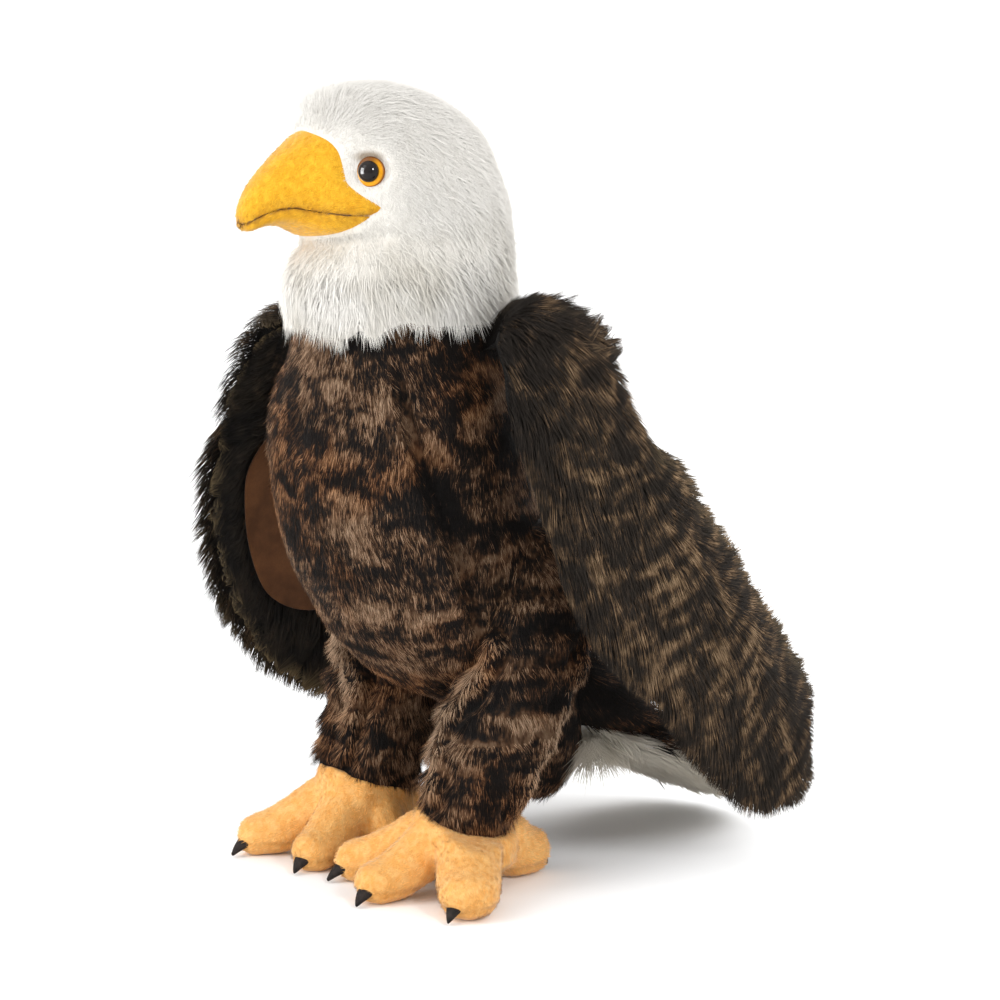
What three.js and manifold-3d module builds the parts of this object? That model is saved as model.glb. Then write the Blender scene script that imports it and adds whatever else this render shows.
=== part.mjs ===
// A stuffed plush bald eagle, standing on its two feet. Millimetres, +Z up.
// It faces -Y, so its own left is +X. Every plush solid runs out to the tips of its pile.
import * as THREE from "three";
import { ParametricGeometry } from "three/addons/geometries/ParametricGeometry.js";
import { mergeVertices } from "three/addons/utils/BufferGeometryUtils.js";
import Module from "manifold-3d";

const wasm = await Module();
wasm.setup();

// ---- driving dimensions -------------------------------------------------
const HEIGHT = 330; // crown above the floor
const GAP = 0.3; // between pieces that touch
const HEAD_YAW = 14; // degrees, the head looks to its own right
const HEAD_AXIS = [0, -12.4]; // x, y of the head's upright axis
const NECK_CUT = 262; // seam between head and neck
const COLLAR_CUT = 227; // lower edge of the white neck
const COLLAR_FALL = 0.07; // the collar hangs lower in front, per mm
const EYE_BEARING = 50; // degrees round from the beak
const EYE_TURN = 44; // which way the eye faces
const EYE_HEIGHT = 292;
const EYE_RADIUS = 5.9;
const PUPIL_RADIUS = 4.2;
const EYE_OUT = 39.4; // from the head's axis to the middle of the eye's face
// where the leg's plush ends: its height at the middle, and how it falls per mm along X and Y
const RIM = { left: [30, 0.28, 0.1], right: [35, 0.17, 0.26] };
const CLAW_LENGTH = 10.5;
const CLAW_RADIUS = 3.5;
const SOLE_TRIM = 1.4; // how much the floor flattens a toe
const FRINGE = 22; // how far the wing's pile stands past the lining's front edge
const LINING = 3; // thickness of the wing's smooth lining

// ---- helpers --------------------------------------------------------------
const rad = THREE.MathUtils.degToRad;
const V = (x, y, z) => new THREE.Vector3(x, y, z);

// Catmull-Rom through the rows of a table, every column at once.
function along(table, t) {
  const n = table.length - 1;
  const x = THREE.MathUtils.clamp(t, 0, 1) * n;
  const i = Math.min(Math.floor(x), n - 1);
  const f = x - i;
  const row = (k) => table[THREE.MathUtils.clamp(k, 0, n)];
  const [a, b, c, d] = [row(i - 1), row(i), row(i + 1), row(i + 2)];
  return b.map((p1, k) => {
    const p0 = a[k],
      p2 = c[k],
      p3 = d[k];
    return (
      0.5 *
      (2 * p1 +
        (p2 - p0) * f +
        (2 * p0 - 5 * p1 + 4 * p2 - p3) * f * f +
        (3 * p1 - p0 - 3 * p2 + p3) * f * f * f)
    );
  });
}

// A closed geometry as a solid: seams merged, faces of no size dropped, facing out.
function solid(geometry) {
  const g = geometry.clone();
  g.deleteAttribute("normal");
  g.deleteAttribute("uv");
  const m = mergeVertices(g, 1e-3);
  const tris = [];
  for (let i = 0; i < m.index.count; i += 3) {
    const [a, b, c] = [0, 1, 2].map((k) => m.index.getX(i + k));
    if (a !== b && b !== c && c !== a) tris.push([a, b, c]);
  }
  const make = (list) =>
    new wasm.Manifold(
      new wasm.Mesh({
        numProp: 3,
        vertProperties: m.attributes.position.array,
        triVerts: new Uint32Array(list.flat()),
      }),
    );
  const first = make(tris);
  return first.volume() > 0 ? first : make(tris.map(([a, b, c]) => [a, c, b]));
}

function geometryOf(body) {
  const m = body.getMesh();
  const v = new Float32Array(m.numVert * 3);
  for (let i = 0; i < m.numVert; i++)
    v.set(m.vertProperties.subarray(i * m.numProp, i * m.numProp + 3), i * 3);
  const g = new THREE.BufferGeometry()
    .setAttribute("position", new THREE.BufferAttribute(v, 3))
    .setIndex(new THREE.BufferAttribute(m.triVerts, 1));
  g.computeVertexNormals();
  return g;
}

// The largest of the bodies that a cut leaves.
const largest = (body) =>
  body.decompose().sort((a, b) => b.volume() - a.volume())[0];

const box = (lo, hi) => {
  const size = V(hi[0] - lo[0], hi[1] - lo[1], hi[2] - lo[2]);
  const g = new THREE.BoxGeometry(size.x, size.y, size.z);
  g.translate((lo[0] + hi[0]) / 2, (lo[1] + hi[1]) / 2, (lo[2] + hi[2]) / 2);
  return solid(g);
};
const FAR = 600;
const above = (z) => box([-FAR, -FAR, z], [FAR, FAR, FAR]);
const below = (z) => box([-FAR, -FAR, -FAR], [FAR, FAR, z]);

// A round body along a spine. Each row is x, y, z, side radius, front radius, back radius.
// Rings stand square to the spine; grow adds to every radius.
function spineBody(table, slices, stacks, { grow = 0, side = V(1, 0, 0) } = {}) {
  const centre = (t) => {
    const r = along(table, t);
    return V(r[0], r[1], r[2]);
  };
  return new ParametricGeometry(
    (u, v, target) => {
      const r = along(table, v);
      const c = V(r[0], r[1], r[2]);
      const tangent = centre(Math.min(v + 0.02, 1))
        .sub(centre(Math.max(v - 0.02, 0)))
        .normalize();
      const s = side.clone().addScaledVector(tangent, -side.dot(tangent)).normalize();
      const front = tangent.clone().cross(s).normalize();
      const a = -2 * Math.PI * (u % 1);
      const end = v <= 0 || v >= 1 ? 0 : 1;
      const g = end * grow;
      const ra = end * r[3] + g;
      const rb = end * (Math.cos(a) > 0 ? r[4] : r[5]) + g;
      c.addScaledVector(s, ra * Math.sin(a)).addScaledVector(front, rb * Math.cos(a));
      if (!end) c.addScaledVector(tangent, v <= 0 ? -grow : grow);
      target.copy(c);
    },
    slices,
    stacks,
  );
}

// ---- trunk ------------------------------------------------------------------
// x, y, z, side, front, back
const TRUNK = [
  [0, -8, 238, 40, 38, 38],
  [0, -9, 232, 48, 42.5, 44],
  [0, -12, 214, 54, 44.2, 50],
  [0, -15, 190, 61, 45.9, 57],
  [0, -12, 164, 62, 48.2, 59],
  [0, -3, 138, 61, 47, 58],
  [0, 14, 112, 56, 42, 52],
  [0, 36, 89, 46, 31, 43],
  [0, 53, 63, 36, 22, 32],
  [0, 63, 42, 27, 18, 25],
  [0, 68, 29, 17, 13, 16],
  [0, 70, 22, 6, 6, 6],
];
const trunkShape = (grow) => solid(spineBody(TRUNK, 24, 17, { grow }));
// the brown rump that covers the root of the tail; front is its under side
const RUMP = [
  [0, 40, 92, 18, 16, 14],
  [0, 58, 82, 34, 22, 20],
  [0, 78, 70, 38, 21, 20],
  [0, 98, 59, 36, 16, 18],
  [0, 116, 50, 32, 11.5, 14],
  [0, 128, 44, 25, 8, 10],
  [0, 134, 41, 12, 4.5, 5],
  [0, 136, 40, 4, 2, 2],
];
const rumpShape = (grow) => solid(spineBody(RUMP, 16, 9, { grow }));

// ---- head and neck ------------------------------------------------------------
// height, shift towards the nape, side, front, back
const HEAD = [
  [330, -9, 0, 0, 0],
  [328, -10, 14, 15, 13.5],
  [322.5, -10, 26, 25.2, 28],
  [314, -6.5, 33.5, 31.4, 37],
  [306, -4, 38, 36.8, 41.9],
  [298, -2, 40, 40, 44.2],
  [289, 0, 41.5, 43, 45.8],
  [281, 1.5, 42.5, 43, 47],
  [273, 3, 43, 42.8, 47.2],
  [265, 3, 45, 43, 48.5],
  [256, 1, 49, 46.5, 49.7],
  [248, 0, 51.5, 47.2, 51],
  [240, 0, 52.5, 46, 50],
  [232, 0, 51.5, 45, 48],
  [225, 0, 49, 43, 46],
  [216, 0, 40, 36, 38],
];
function headShape(grow) {
  return solid(
    new ParametricGeometry(
      (u, v, target) => {
        const [z, shift, s, f, b] = along(HEAD, v);
        const a = 2 * Math.PI * (u % 1);
        const end = v <= 0 || v >= 1 ? 0 : 1;
        const yy = Math.cos(a) > 0 ? b : f;
        target.set(
          end * (s + grow) * Math.sin(a),
          shift + end * (yy + grow) * Math.cos(a),
          z + (v <= 0 ? grow : v >= 1 ? -grow : 0),
        );
      },
      24,
      20,
    ),
  );
}

// ---- beak, in the head's frame: front is -Y ---------------------------------------
// how far forward, top height, bottom height, half width, how far the base's shape holds
const BEAK = [
  [14, 304, 268, 26, 1],
  [17, 311, 266, 35, 1],
  [25, 313.5, 265.6, 36, 1],
  [32, 313.2, 266, 31, 0.6],
  [38, 311.2, 266.8, 25.5, 0.15],
  [44, 306, 269.2, 20.2, 0],
  [50.5, 300.4, 271.3, 16.4, 0],
  [56.5, 294.4, 271.2, 13, 0],
  [61, 289.4, 269.8, 10.4, 0],
  [64.2, 284.8, 268.8, 8.2, 0],
  [66.6, 280.2, 270, 5.4, 0],
  [67.8, 276, 273.4, 1.2, 0],
];
// the base's half width by height: widest low down, at the corner of the mouth
const BEAK_BASE = [
  [0, 0],
  [0.015, 0.55],
  [0.05, 0.82],
  [0.1, 0.89],
  [0.2, 0.96],
  [0.27, 1],
  [0.37, 0.89],
  [0.49, 0.79],
  [0.62, 0.73],
  [0.755, 0.68],
  [0.87, 0.6],
  [0.955, 0.48],
  [0.985, 0.34],
  [1, 0],
];
const BEAK_WIDEST = 0.3; // height of the widest part further forward, as a share
function beakShape() {
  return solid(
    new ParametricGeometry(
      (u, v, target) => {
        const [f, top, bottom, w, k] = along(BEAK, v);
        const a = 2 * Math.PI * (u % 1);
        const end = v <= 0 || v >= 1 ? 0 : 1;
        const t = 0.5 + 0.5 * Math.cos(a);
        const round =
          t < BEAK_WIDEST
            ? Math.sqrt(Math.max(0, 1 - ((BEAK_WIDEST - t) / BEAK_WIDEST) ** 4))
            : Math.sqrt(Math.max(0, 1 - ((t - BEAK_WIDEST) / (1 - BEAK_WIDEST)) ** 3));
        const i = Math.max(1, BEAK_BASE.findIndex(([q]) => q >= t));
        const [[q0, b0], [q1, b1]] = [BEAK_BASE[i - 1], BEAK_BASE[i]];
        const base = b0 + ((b1 - b0) * (t - q0)) / (q1 - q0);
        target.set(
          end * Math.sign(Math.sin(a)) * w * ((1 - k) * round + k * base),
          -f,
          end ? bottom + (top - bottom) * t : (top + bottom) / 2,
        );
      },
      20,
      14,
    ),
  );
}
// the mouth line's height, by how far forward it is
const MOUTH = [
  [0, 274],
  [20, 274.6],
  [34, 275],
  [43, 276.4],
  [50, 277.8],
  [56, 277.2],
  [61, 275.2],
  [66, 272],
  [72, 269.4],
];
function mouthAt(f) {
  const i = Math.max(1, MOUTH.findIndex(([k]) => k >= f));
  const [[f0, z0], [f1, z1]] = [MOUTH[i - 1], MOUTH[i]];
  return z0 + ((z1 - z0) * (f - f0)) / (f1 - f0);
}
// Everything under the mouth line.
function underMouth(shift) {
  const outline = new THREE.Shape();
  outline.moveTo(-72, 230);
  for (let f = 72; f >= 0; f -= 6) outline.lineTo(-f, mouthAt(f) + shift);
  outline.lineTo(0, 230);
  const g = new THREE.ExtrudeGeometry(outline, { depth: 100, bevelEnabled: false });
  g.rotateX(Math.PI / 2).rotateZ(Math.PI / 2); // x, y of the outline become y, z
  const b = new THREE.Box3().setFromBufferAttribute(g.getAttribute("position"));
  g.translate(-(b.min.x + b.max.x) / 2, 0, 0);
  return solid(g);
}

// A toy eye: an amber disc with a black dome on it, both turned about +Y before placing.
const lathe = (pts, n) =>
  new THREE.LatheGeometry(
    pts.map(([r, h]) => new THREE.Vector2(r, h)),
    n,
  );
const eyeDisc = (r) => lathe([[0, -4], [r, -4], [r, -0.8], [r - 0.6, 0], [0, 0.25]], 16);
const pupilDome = (r) => {
  const pts = [[0, 0.55], [r, 0.55]];
  for (let i = 1; i < 4; i++) {
    const a = (i / 4) * (Math.PI / 2);
    pts.push([r * Math.cos(a), 0.55 + r * 0.72 * Math.sin(a)]);
  }
  return lathe([...pts, [0, 0.55 + r * 0.72]], 14);
};
const socketHole = (r) => lathe([[0, -4 - GAP], [r, -4 - GAP], [r, 0], [r + 1.5, 8], [0, 8]], 16);
function facing(sign, g) {
  const turn = rad(EYE_TURN);
  const place = rad(EYE_BEARING);
  g.rotateX(Math.PI / 2); // its axis from +Y to +Z
  const out = V(sign * Math.sin(turn), -Math.cos(turn), 0.06).normalize();
  g.applyQuaternion(new THREE.Quaternion().setFromUnitVectors(V(0, 0, 1), out));
  g.translate(sign * Math.sin(place) * EYE_OUT, -Math.cos(place) * EYE_OUT, EYE_HEIGHT);
  return solid(g);
}
const HEAD_PLACE = new THREE.Matrix4()
  .makeTranslation(HEAD_AXIS[0], HEAD_AXIS[1], 0)
  .multiply(new THREE.Matrix4().makeRotationZ(rad(-HEAD_YAW)));
const intoPlace = (body) => body.transform(HEAD_PLACE.toArray());

// ---- wing ---------------------------------------------------------------------
// x, y, z of the panel's middle, reach to the front edge, reach to the rear edge,
// thickness of the furred panel, angle of the chord above level
const WING = [
  [30, -4, 206, 12, 13, 10, 0],
  [50, 0, 218, 8, 16, 13, 0],
  [65, 0, 225, 9, 22, 15, 4],
  [79, -6, 220.5, 24, 28, 17, 8],
  [87, -5, 206, 36, 31, 17, 15],
  [91, -2, 191, 42, 35, 17, 25],
  [94, 4, 171, 48, 44, 17, 34],
  [95, 17, 148, 53, 53, 17, 36],
  [95, 33, 128, 52, 53, 16, 37],
  [93, 51, 112, 47, 51, 16, 38],
  [92, 68, 96, 41, 48, 15, 38],
  [89, 85, 79, 38.5, 48, 14, 38],
  [86, 102, 62, 36, 49.5, 13, 38],
  [84, 116, 49.5, 32, 48, 12, 38],
  [83, 128, 40, 24, 42, 11, 38],
  [83, 138, 33, 13, 29, 8, 38],
  [83, 145, 31, 4, 10, 3, 38],
];
// how much further each wing's front edge reaches, row by row
const REACH = {
  left: [0, 0, 0, 2, 7, 5, 0, 0, 0, 0, 0, 0, 0, 0, 0, 0, 0],
  right: [0, 0, 0, -12, -12, -5, 4, 12, 19, 21, 18, 12, 5, 1, 0, 0, 0],
};
const WRAP = 10; // degrees the rear edge turns in behind the body
const CAMBER = 5;
function wingFrame(side, v) {
  const r = along(WING, v);
  const p1 = along(WING, Math.min(v + 0.02, 1));
  const p0 = along(WING, Math.max(v - 0.02, 0));
  const tangent = V(p1[0] - p0[0], p1[1] - p0[1], p1[2] - p0[2]).normalize();
  const turn = rad(WRAP) * THREE.MathUtils.clamp((v - 0.1) / 0.16, 0, 1);
  const chord = V(-Math.sin(turn), Math.cos(rad(r[6])), Math.sin(rad(r[6])));
  chord.addScaledVector(tangent, -chord.dot(tangent)).normalize();
  const out = tangent.clone().cross(chord).normalize();
  if (out.dot(V(0.6, 0, 1)) < 0) out.negate();
  const centre = V(r[0], r[1], r[2]);
  if (side === "right") for (const q of [centre, chord, out]) q.x *= -1;
  return {
    centre,
    chord,
    out,
    front: r[3] + along(REACH[side].map((k) => [k]), v)[0],
    rear: r[4],
    thick: r[5],
  };
}
const camber = (c, w) => CAMBER * (1 - (c / Math.max(w.front, w.rear)) ** 2);
const power = (x, p) => Math.sign(x) * Math.abs(x) ** p;
function wingShape(side, grow) {
  return solid(
    new ParametricGeometry(
      (u, v, target) => {
        const w = wingFrame(side, v);
        const end = v <= 0 || v >= 1 ? 0 : 1;
        const a = 2 * Math.PI * (u % 1);
        const c0 = power(Math.cos(a), 0.85);
        const up = power(Math.sin(a), 0.7);
        const share = Math.min(1, w.front / 34);
        const front = w.front - FRINGE * share * (0.5 - 0.5 * up);
        const c = end * (c0 < 0 ? c0 * front : c0 * w.rear);
        const n = camber(c, w) + (w.thick / 2) * (1 + end * up);
        target
          .copy(w.centre)
          .addScaledVector(w.chord, c + Math.sign(c) * grow)
          .addScaledVector(w.out, n + Math.sign(up) * end * grow);
      },
      16,
      19,
    ),
  );
}
// The smooth lining, a thin panel on the wing's inner face.
function liningShape(side) {
  const [from, to] = [0.22, 0.94];
  return solid(
    new ParametricGeometry(
      (u, v, target) => {
        const w = wingFrame(side, from + (to - from) * v);
        const end = v <= 0 || v >= 1 ? 0 : 1;
        const a = 2 * Math.PI * (u % 1);
        const round = Math.sqrt(Math.max(0, 1 - (2 * v - 1) ** 6));
        const share = Math.min(1, w.front / 34);
        const front = Math.max(3, w.front - FRINGE * share - 1);
        const rear = Math.max(3, w.rear - 5);
        const c = end * round * (Math.cos(a) < 0 ? Math.cos(a) * front : Math.cos(a) * rear);
        const n =
          camber(c, w) - GAP - LINING / 2 + end * power(Math.sin(a), 0.6) * (LINING / 2) * round;
        target
          .copy(w.centre)
          .addScaledVector(w.chord, c)
          .addScaledVector(w.out, n);
      },
      12,
      10,
    ),
  );
}

// ---- tail -----------------------------------------------------------------------
// x, y, z, side, below (front), above (back)
const TAIL = [
  [0, 66, 59, 16, 7, 9],
  [0, 80, 54.5, 26, 8, 10],
  [0, 98, 47, 33, 8, 9],
  [0, 116, 39.5, 38, 8, 9],
  [0, 134, 30.5, 40, 8, 9],
  [0, 150, 21.5, 38, 7, 8],
  [0, 162, 14.5, 30, 5.5, 6.5],
  [0, 169, 10.5, 17, 4, 4.5],
  [0, 172, 9, 4, 2, 2],
];

// ---- legs -------------------------------------------------------------------------
// hip down to ankle: x, y, z, side, front, back; one table for each side, as the stance isn't even
const LEGS = {
  left: [
    [40, 22, 152, 8, 8, 8],
    [42, 22, 142, 20, 21, 24],
    [43, 21, 122, 26, 29, 32],
    [42, 18.5, 100, 27.5, 29, 32],
    [39, 14, 77, 27, 28, 28],
    [36.5, 7, 56, 26, 26.5, 25],
    [34, 1, 40, 24.5, 25, 22],
    [33, -1, 29, 22, 23, 19.5],
    [33, -1, 16, 15, 17, 14],
  ],
  right: [
    [-40, 24, 152, 8, 8, 8],
    [-41, 24, 142, 19, 20, 22],
    [-42, 23, 122, 24, 27, 29],
    [-43, 21, 100, 26, 28, 29],
    [-43, 17.5, 79, 26, 27, 27],
    [-43.5, 13, 58, 25.5, 26, 26],
    [-44, 9, 43, 25, 25.5, 25],
    [-44, 7.5, 31, 23.5, 25, 22.5],
    [-44, 7.5, 18, 16, 18, 15],
  ],
};
const legShape = (side, grow) => solid(spineBody(LEGS[side], 16, 10, { grow }));

// ---- feet ---------------------------------------------------------------------------
// Each toe: heading in degrees (0 is straight ahead, towards +X is positive), length from
// the foot's middle to the middle of the toe's end, half width, half height, the claw's heading.
const FEET = {
  left: {
    at: [32, -1],
    toes: {
      middle: [-13, 40.5, 10.2, 9.6, 8],
      inner: [-58, 48, 9.2, 9.4, -18],
      outer: [49, 41.5, 12.8, 10.8, 16],
      hind: [184, 33, 11.2, 11.4, 184],
    },
  },
  right: {
    at: [-44, 7],
    toes: {
      middle: [15, 37, 10.8, 9.6, 12],
      inner: [77, 31, 9, 9, 60],
      outer: [-34.4, 46.5, 10, 9.8, -8],
      hind: [195, 39, 10.5, 10.5, 195],
    },
  },
};
const heading = (deg) => V(Math.sin(rad(deg)), -Math.cos(rad(deg)), 0);
const across = (deg) => {
  const d = heading(deg);
  return V(-d.y, d.x, 0);
};
// Rows of a toe, from inside the foot to its rounded end.
function toeTable(side, [deg, length, w, h]) {
  const f = FEET[side];
  const d = heading(deg);
  const at = (k, z, s, t) => [f.at[0] + d.x * k, f.at[1] + d.y * k, z, s, t, t];
  const low = h - SOLE_TRIM;
  return [
    at(-9, 19, 0, 0),
    at(-6, 19, w * 0.9, h * 0.9),
    at(length * 0.2, low + 16.5, w * 1.18, h * 1.4),
    at(length * 0.46, low + 10.5, w * 1.1, h * 1.25),
    at(length * 0.76, low + 3.2, w, h * 1.06),
    at(length, low, w, h),
    at(length + w * 0.6, low + 0.2, w * 0.8, h * 0.8),
    at(length + w * 0.9, low + 0.4, w * 0.42, h * 0.42),
    at(length + w, low + 0.4, 0, 0),
  ];
}
const toeShape = (side, toe, grow) =>
  solid(spineBody(toeTable(side, toe), 10, 9, { side: across(toe[0]), grow }));
function footShape(side, grow) {
  const [x, y] = FEET[side].at;
  const instep = solid(
    spineBody(
      [
        [x, y + 1, 48, 0, 0, 0],
        [x, y + 1, 43, 18, 19, 16],
        [x, y, 31, 20.5, 23, 18],
        [x, y, 19, 21.5, 25, 19],
        [x, y, 9, 18, 20, 16],
        [x, y, 3.5, 0, 0, 0],
      ],
      14,
      7,
      { grow },
    ),
  );
  return Object.values(FEET[side].toes)
    .reduce((all, toe) => all.add(toeShape(side, toe, grow)), instep)
    .intersect(above(0));
}
// A curved claw, low on the end of a toe.
function clawShape(side, toe) {
  const [deg, length, w, h, point] = toe;
  const f = FEET[side];
  const end = heading(deg);
  const d = heading(point);
  const start = w * 0.4;
  const at = (k, z, s) => [
    f.at[0] + end.x * length + d.x * (start + k),
    f.at[1] + end.y * length + d.y * (start + k),
    z,
    s,
    s * 0.8,
    s * 0.8,
  ];
  const L = CLAW_LENGTH;
  const r = CLAW_RADIUS;
  const top = h - SOLE_TRIM - 0.6;
  const rows = [
    at(-1, top + 0.3, 0),
    at(0, top, r),
    at(L * 0.35, top * 0.88, r),
    at(L * 0.65, top * 0.62, r * 0.74),
    at(L * 0.88, top * 0.34, r * 0.38),
    at(L, 0.9, 0),
  ];
  return solid(spineBody(rows, 8, 5, { side: across(point) })).subtract(
    toeShape(side, toe, GAP),
  );
}

// ---- put together ------------------------------------------------------------------
const root = new THREE.Group();
root.name = "plush_eagle";
const FINISHES = {
  white_plush: [0xe9e6de, 0.95],
  brown_plush: [0x4a3626, 0.95],
  shaggy_plush: [0x35281f, 0.95],
  lining_suede: [0x6b3716, 0.9],
  beak_velour: [0xf0b020, 0.85],
  foot_velour: [0xf2b25a, 0.85],
  claw_felt: [0x1d1714, 0.7],
  eye_amber: [0xc97a08, 0.15],
  pupil_black: [0x050404, 0.08],
};
function add(name, body, finish) {
  const [color, roughness] = FINISHES[finish];
  const material = new THREE.MeshStandardMaterial({ color, roughness, metalness: 0 });
  material.name = finish;
  const mesh = new THREE.Mesh(geometryOf(largest(body)), material);
  mesh.name = name;
  root.add(mesh);
}
// The half space above a plane through x, y, z that falls by so much per mm along X and Y.
function aboveTilted(x, y, z, fallX, fallY) {
  const turn = new THREE.Quaternion().setFromUnitVectors(
    V(0, 0, 1),
    V(fallX, fallY, 1).normalize(),
  );
  const place = new THREE.Matrix4().makeTranslation(x, y, z);
  place.multiply(new THREE.Matrix4().makeRotationFromQuaternion(turn));
  return above(0).transform(place.toArray());
}

const trunkWhole = trunkShape(0);
const trunkWide = trunkShape(GAP);
const rumpWide = rumpShape(GAP);
const headWhole = intoPlace(headShape(0));
const headWide = intoPlace(headShape(GAP));
const collar = aboveTilted(0, -12, COLLAR_CUT, 0, -COLLAR_FALL);
const trunk = trunkWhole.subtract(collar.translate([0, 0, -GAP]));

for (const [side, sign] of [
  ["left", 1],
  ["right", -1],
]) {
  add("eye_" + side, intoPlace(facing(sign, eyeDisc(EYE_RADIUS))), "eye_amber");
  add("pupil_" + side, intoPlace(facing(sign, pupilDome(PUPIL_RADIUS))), "pupil_black");
}
const holes = intoPlace(facing(1, socketHole(EYE_RADIUS + GAP))).add(
  intoPlace(facing(-1, socketHole(EYE_RADIUS + GAP))),
);
add("head", headWhole.intersect(above(NECK_CUT)).subtract(holes), "white_plush");
add(
  "neck",
  headWhole.intersect(below(NECK_CUT - GAP)).intersect(collar),
  "white_plush",
);
const beak = intoPlace(beakShape()).subtract(headWide).subtract(holes);
add("beak_upper", beak.subtract(intoPlace(underMouth(0))), "beak_velour");
add("beak_lower", beak.intersect(intoPlace(underMouth(-GAP))), "beak_velour");
add("trunk", trunk, "brown_plush");
add("rump", rumpShape(0).subtract(trunkWide), "brown_plush");
add(
  "tail",
  solid(spineBody(TAIL, 14, 10)).subtract(trunkWide).subtract(rumpWide),
  "white_plush",
);
for (const side of ["left", "right"]) {
  add(
    "wing_" + side,
    wingShape(side, 0).subtract(trunkWide).subtract(headWide),
    "shaggy_plush",
  );
  add(
    "wing_lining_" + side,
    liningShape(side).subtract(wingShape(side, GAP)),
    "lining_suede",
  );
}
for (const side of ["left", "right"]) {
  const rim = aboveTilted(...FEET[side].at, ...RIM[side]);
  const foot = footShape(side, 0).subtract(rim.translate([0, 0, -GAP]));
  const leg = legShape(side, 0)
    .subtract(trunkWide)
    .subtract(rumpWide)
    .intersect(rim);
  add("leg_" + side, leg, "brown_plush");
  add("foot_" + side, foot, "foot_velour");
  for (const [name, toe] of Object.entries(FEET[side].toes)) {
    add("claw_" + side + "_" + name, clawShape(side, toe), "claw_felt");
  }
}

// the origin is on the floor, under the middle of the whole toy
const extent = new THREE.Box3().setFromObject(root);
for (const mesh of root.children)
  mesh.geometry.translate(
    -(extent.min.x + extent.max.x) / 2,
    -(extent.min.y + extent.max.y) / 2,
    -extent.min.z,
  );

export default root;
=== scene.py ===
# A stuffed plush bald eagle: skins, sewn parts and pile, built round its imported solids.
import math

import bpy
import numpy as np
from mathutils import Matrix, Vector
from mathutils.bvhtree import BVHTree
from mathutils.kdtree import KDTree


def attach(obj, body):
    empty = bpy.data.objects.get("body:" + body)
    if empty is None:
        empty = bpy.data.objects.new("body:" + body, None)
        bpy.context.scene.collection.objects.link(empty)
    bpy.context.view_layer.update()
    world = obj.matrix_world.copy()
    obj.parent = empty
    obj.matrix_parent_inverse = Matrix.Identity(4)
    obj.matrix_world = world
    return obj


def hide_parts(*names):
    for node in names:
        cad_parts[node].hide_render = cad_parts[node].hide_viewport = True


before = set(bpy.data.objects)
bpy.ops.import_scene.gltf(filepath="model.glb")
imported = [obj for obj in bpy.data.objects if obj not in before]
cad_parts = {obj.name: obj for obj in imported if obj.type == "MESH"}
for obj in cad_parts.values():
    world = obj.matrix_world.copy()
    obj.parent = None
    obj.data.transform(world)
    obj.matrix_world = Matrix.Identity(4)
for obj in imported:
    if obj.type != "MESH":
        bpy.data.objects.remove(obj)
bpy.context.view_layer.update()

MM = 0.001
# The pattern is drawn in millimetres about the toy's own middle plane. This takes it to the row frame.
SHIFT = np.array([0.7378, -46.7691, 0.0])
UP = np.array([0.0, 0.0, 1.0])
DOWN = -UP

# ------------------------------------------------------------------ small maths


def unit(a):
    a = np.asarray(a, float)
    return a / np.maximum(np.linalg.norm(a, axis=-1, keepdims=True), 1e-9)


def dot(a, b):
    return (a * b).sum(-1, keepdims=True)


def tangential(a, n):
    return unit(a - dot(a, n) * n)


def smooth(x, lo, hi):
    t = np.clip((x - lo) / (hi - lo), 0, 1)
    return t * t * (3 - 2 * t)


def along(table, t):
    """Catmull-Rom through the rows of a table, every column at once."""
    T = np.asarray(table, float)
    n = len(T) - 1
    x = np.clip(t, 0, 1) * n
    i = np.minimum(x.astype(int), n - 1)
    f = (x - i)[:, None]
    row = lambda k: T[np.clip(k, 0, n)]
    a, b, c, d = row(i - 1), row(i), row(i + 1), row(i + 2)
    return 0.5 * (
        2 * b
        + (c - a) * f
        + (2 * a - 5 * b + 4 * c - d) * f * f
        + (3 * b - a - 3 * c + d) * f**3
    )


def _hash(i, j, k, seed):
    h = (i * 374761393 + j * 668265263 + k * 2147483647 + seed * 1274126177) & 0xFFFFFFFF
    h = ((h ^ (h >> 13)) * 1274126177) & 0xFFFFFFFF
    h = h ^ (h >> 16)
    return (h & 0xFFFFFF) / float(0xFFFFFF)


def noise(p, scale, seed=0):
    """Smooth lattice noise from 0 to 1; p in mm, scale in mm per cell."""
    q = np.asarray(p, float) / scale + 1000.0
    i = np.floor(q).astype(np.int64)
    f = q - i
    f = f * f * (3 - 2 * f)
    out = 0.0
    for dx in (0, 1):
        for dy in (0, 1):
            for dz in (0, 1):
                w = (
                    (f[:, 0] if dx else 1 - f[:, 0])
                    * (f[:, 1] if dy else 1 - f[:, 1])
                    * (f[:, 2] if dz else 1 - f[:, 2])
                )
                out = out + w * _hash(i[:, 0] + dx, i[:, 1] + dy, i[:, 2] + dz, seed)
    return out


def noise_vec(p, scale, seed=0):
    return np.stack([noise(p, scale, seed + 11 * k) - 0.5 for k in range(3)], 1) * 2


# ------------------------------------------------------------------ the pattern, in mm

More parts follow.
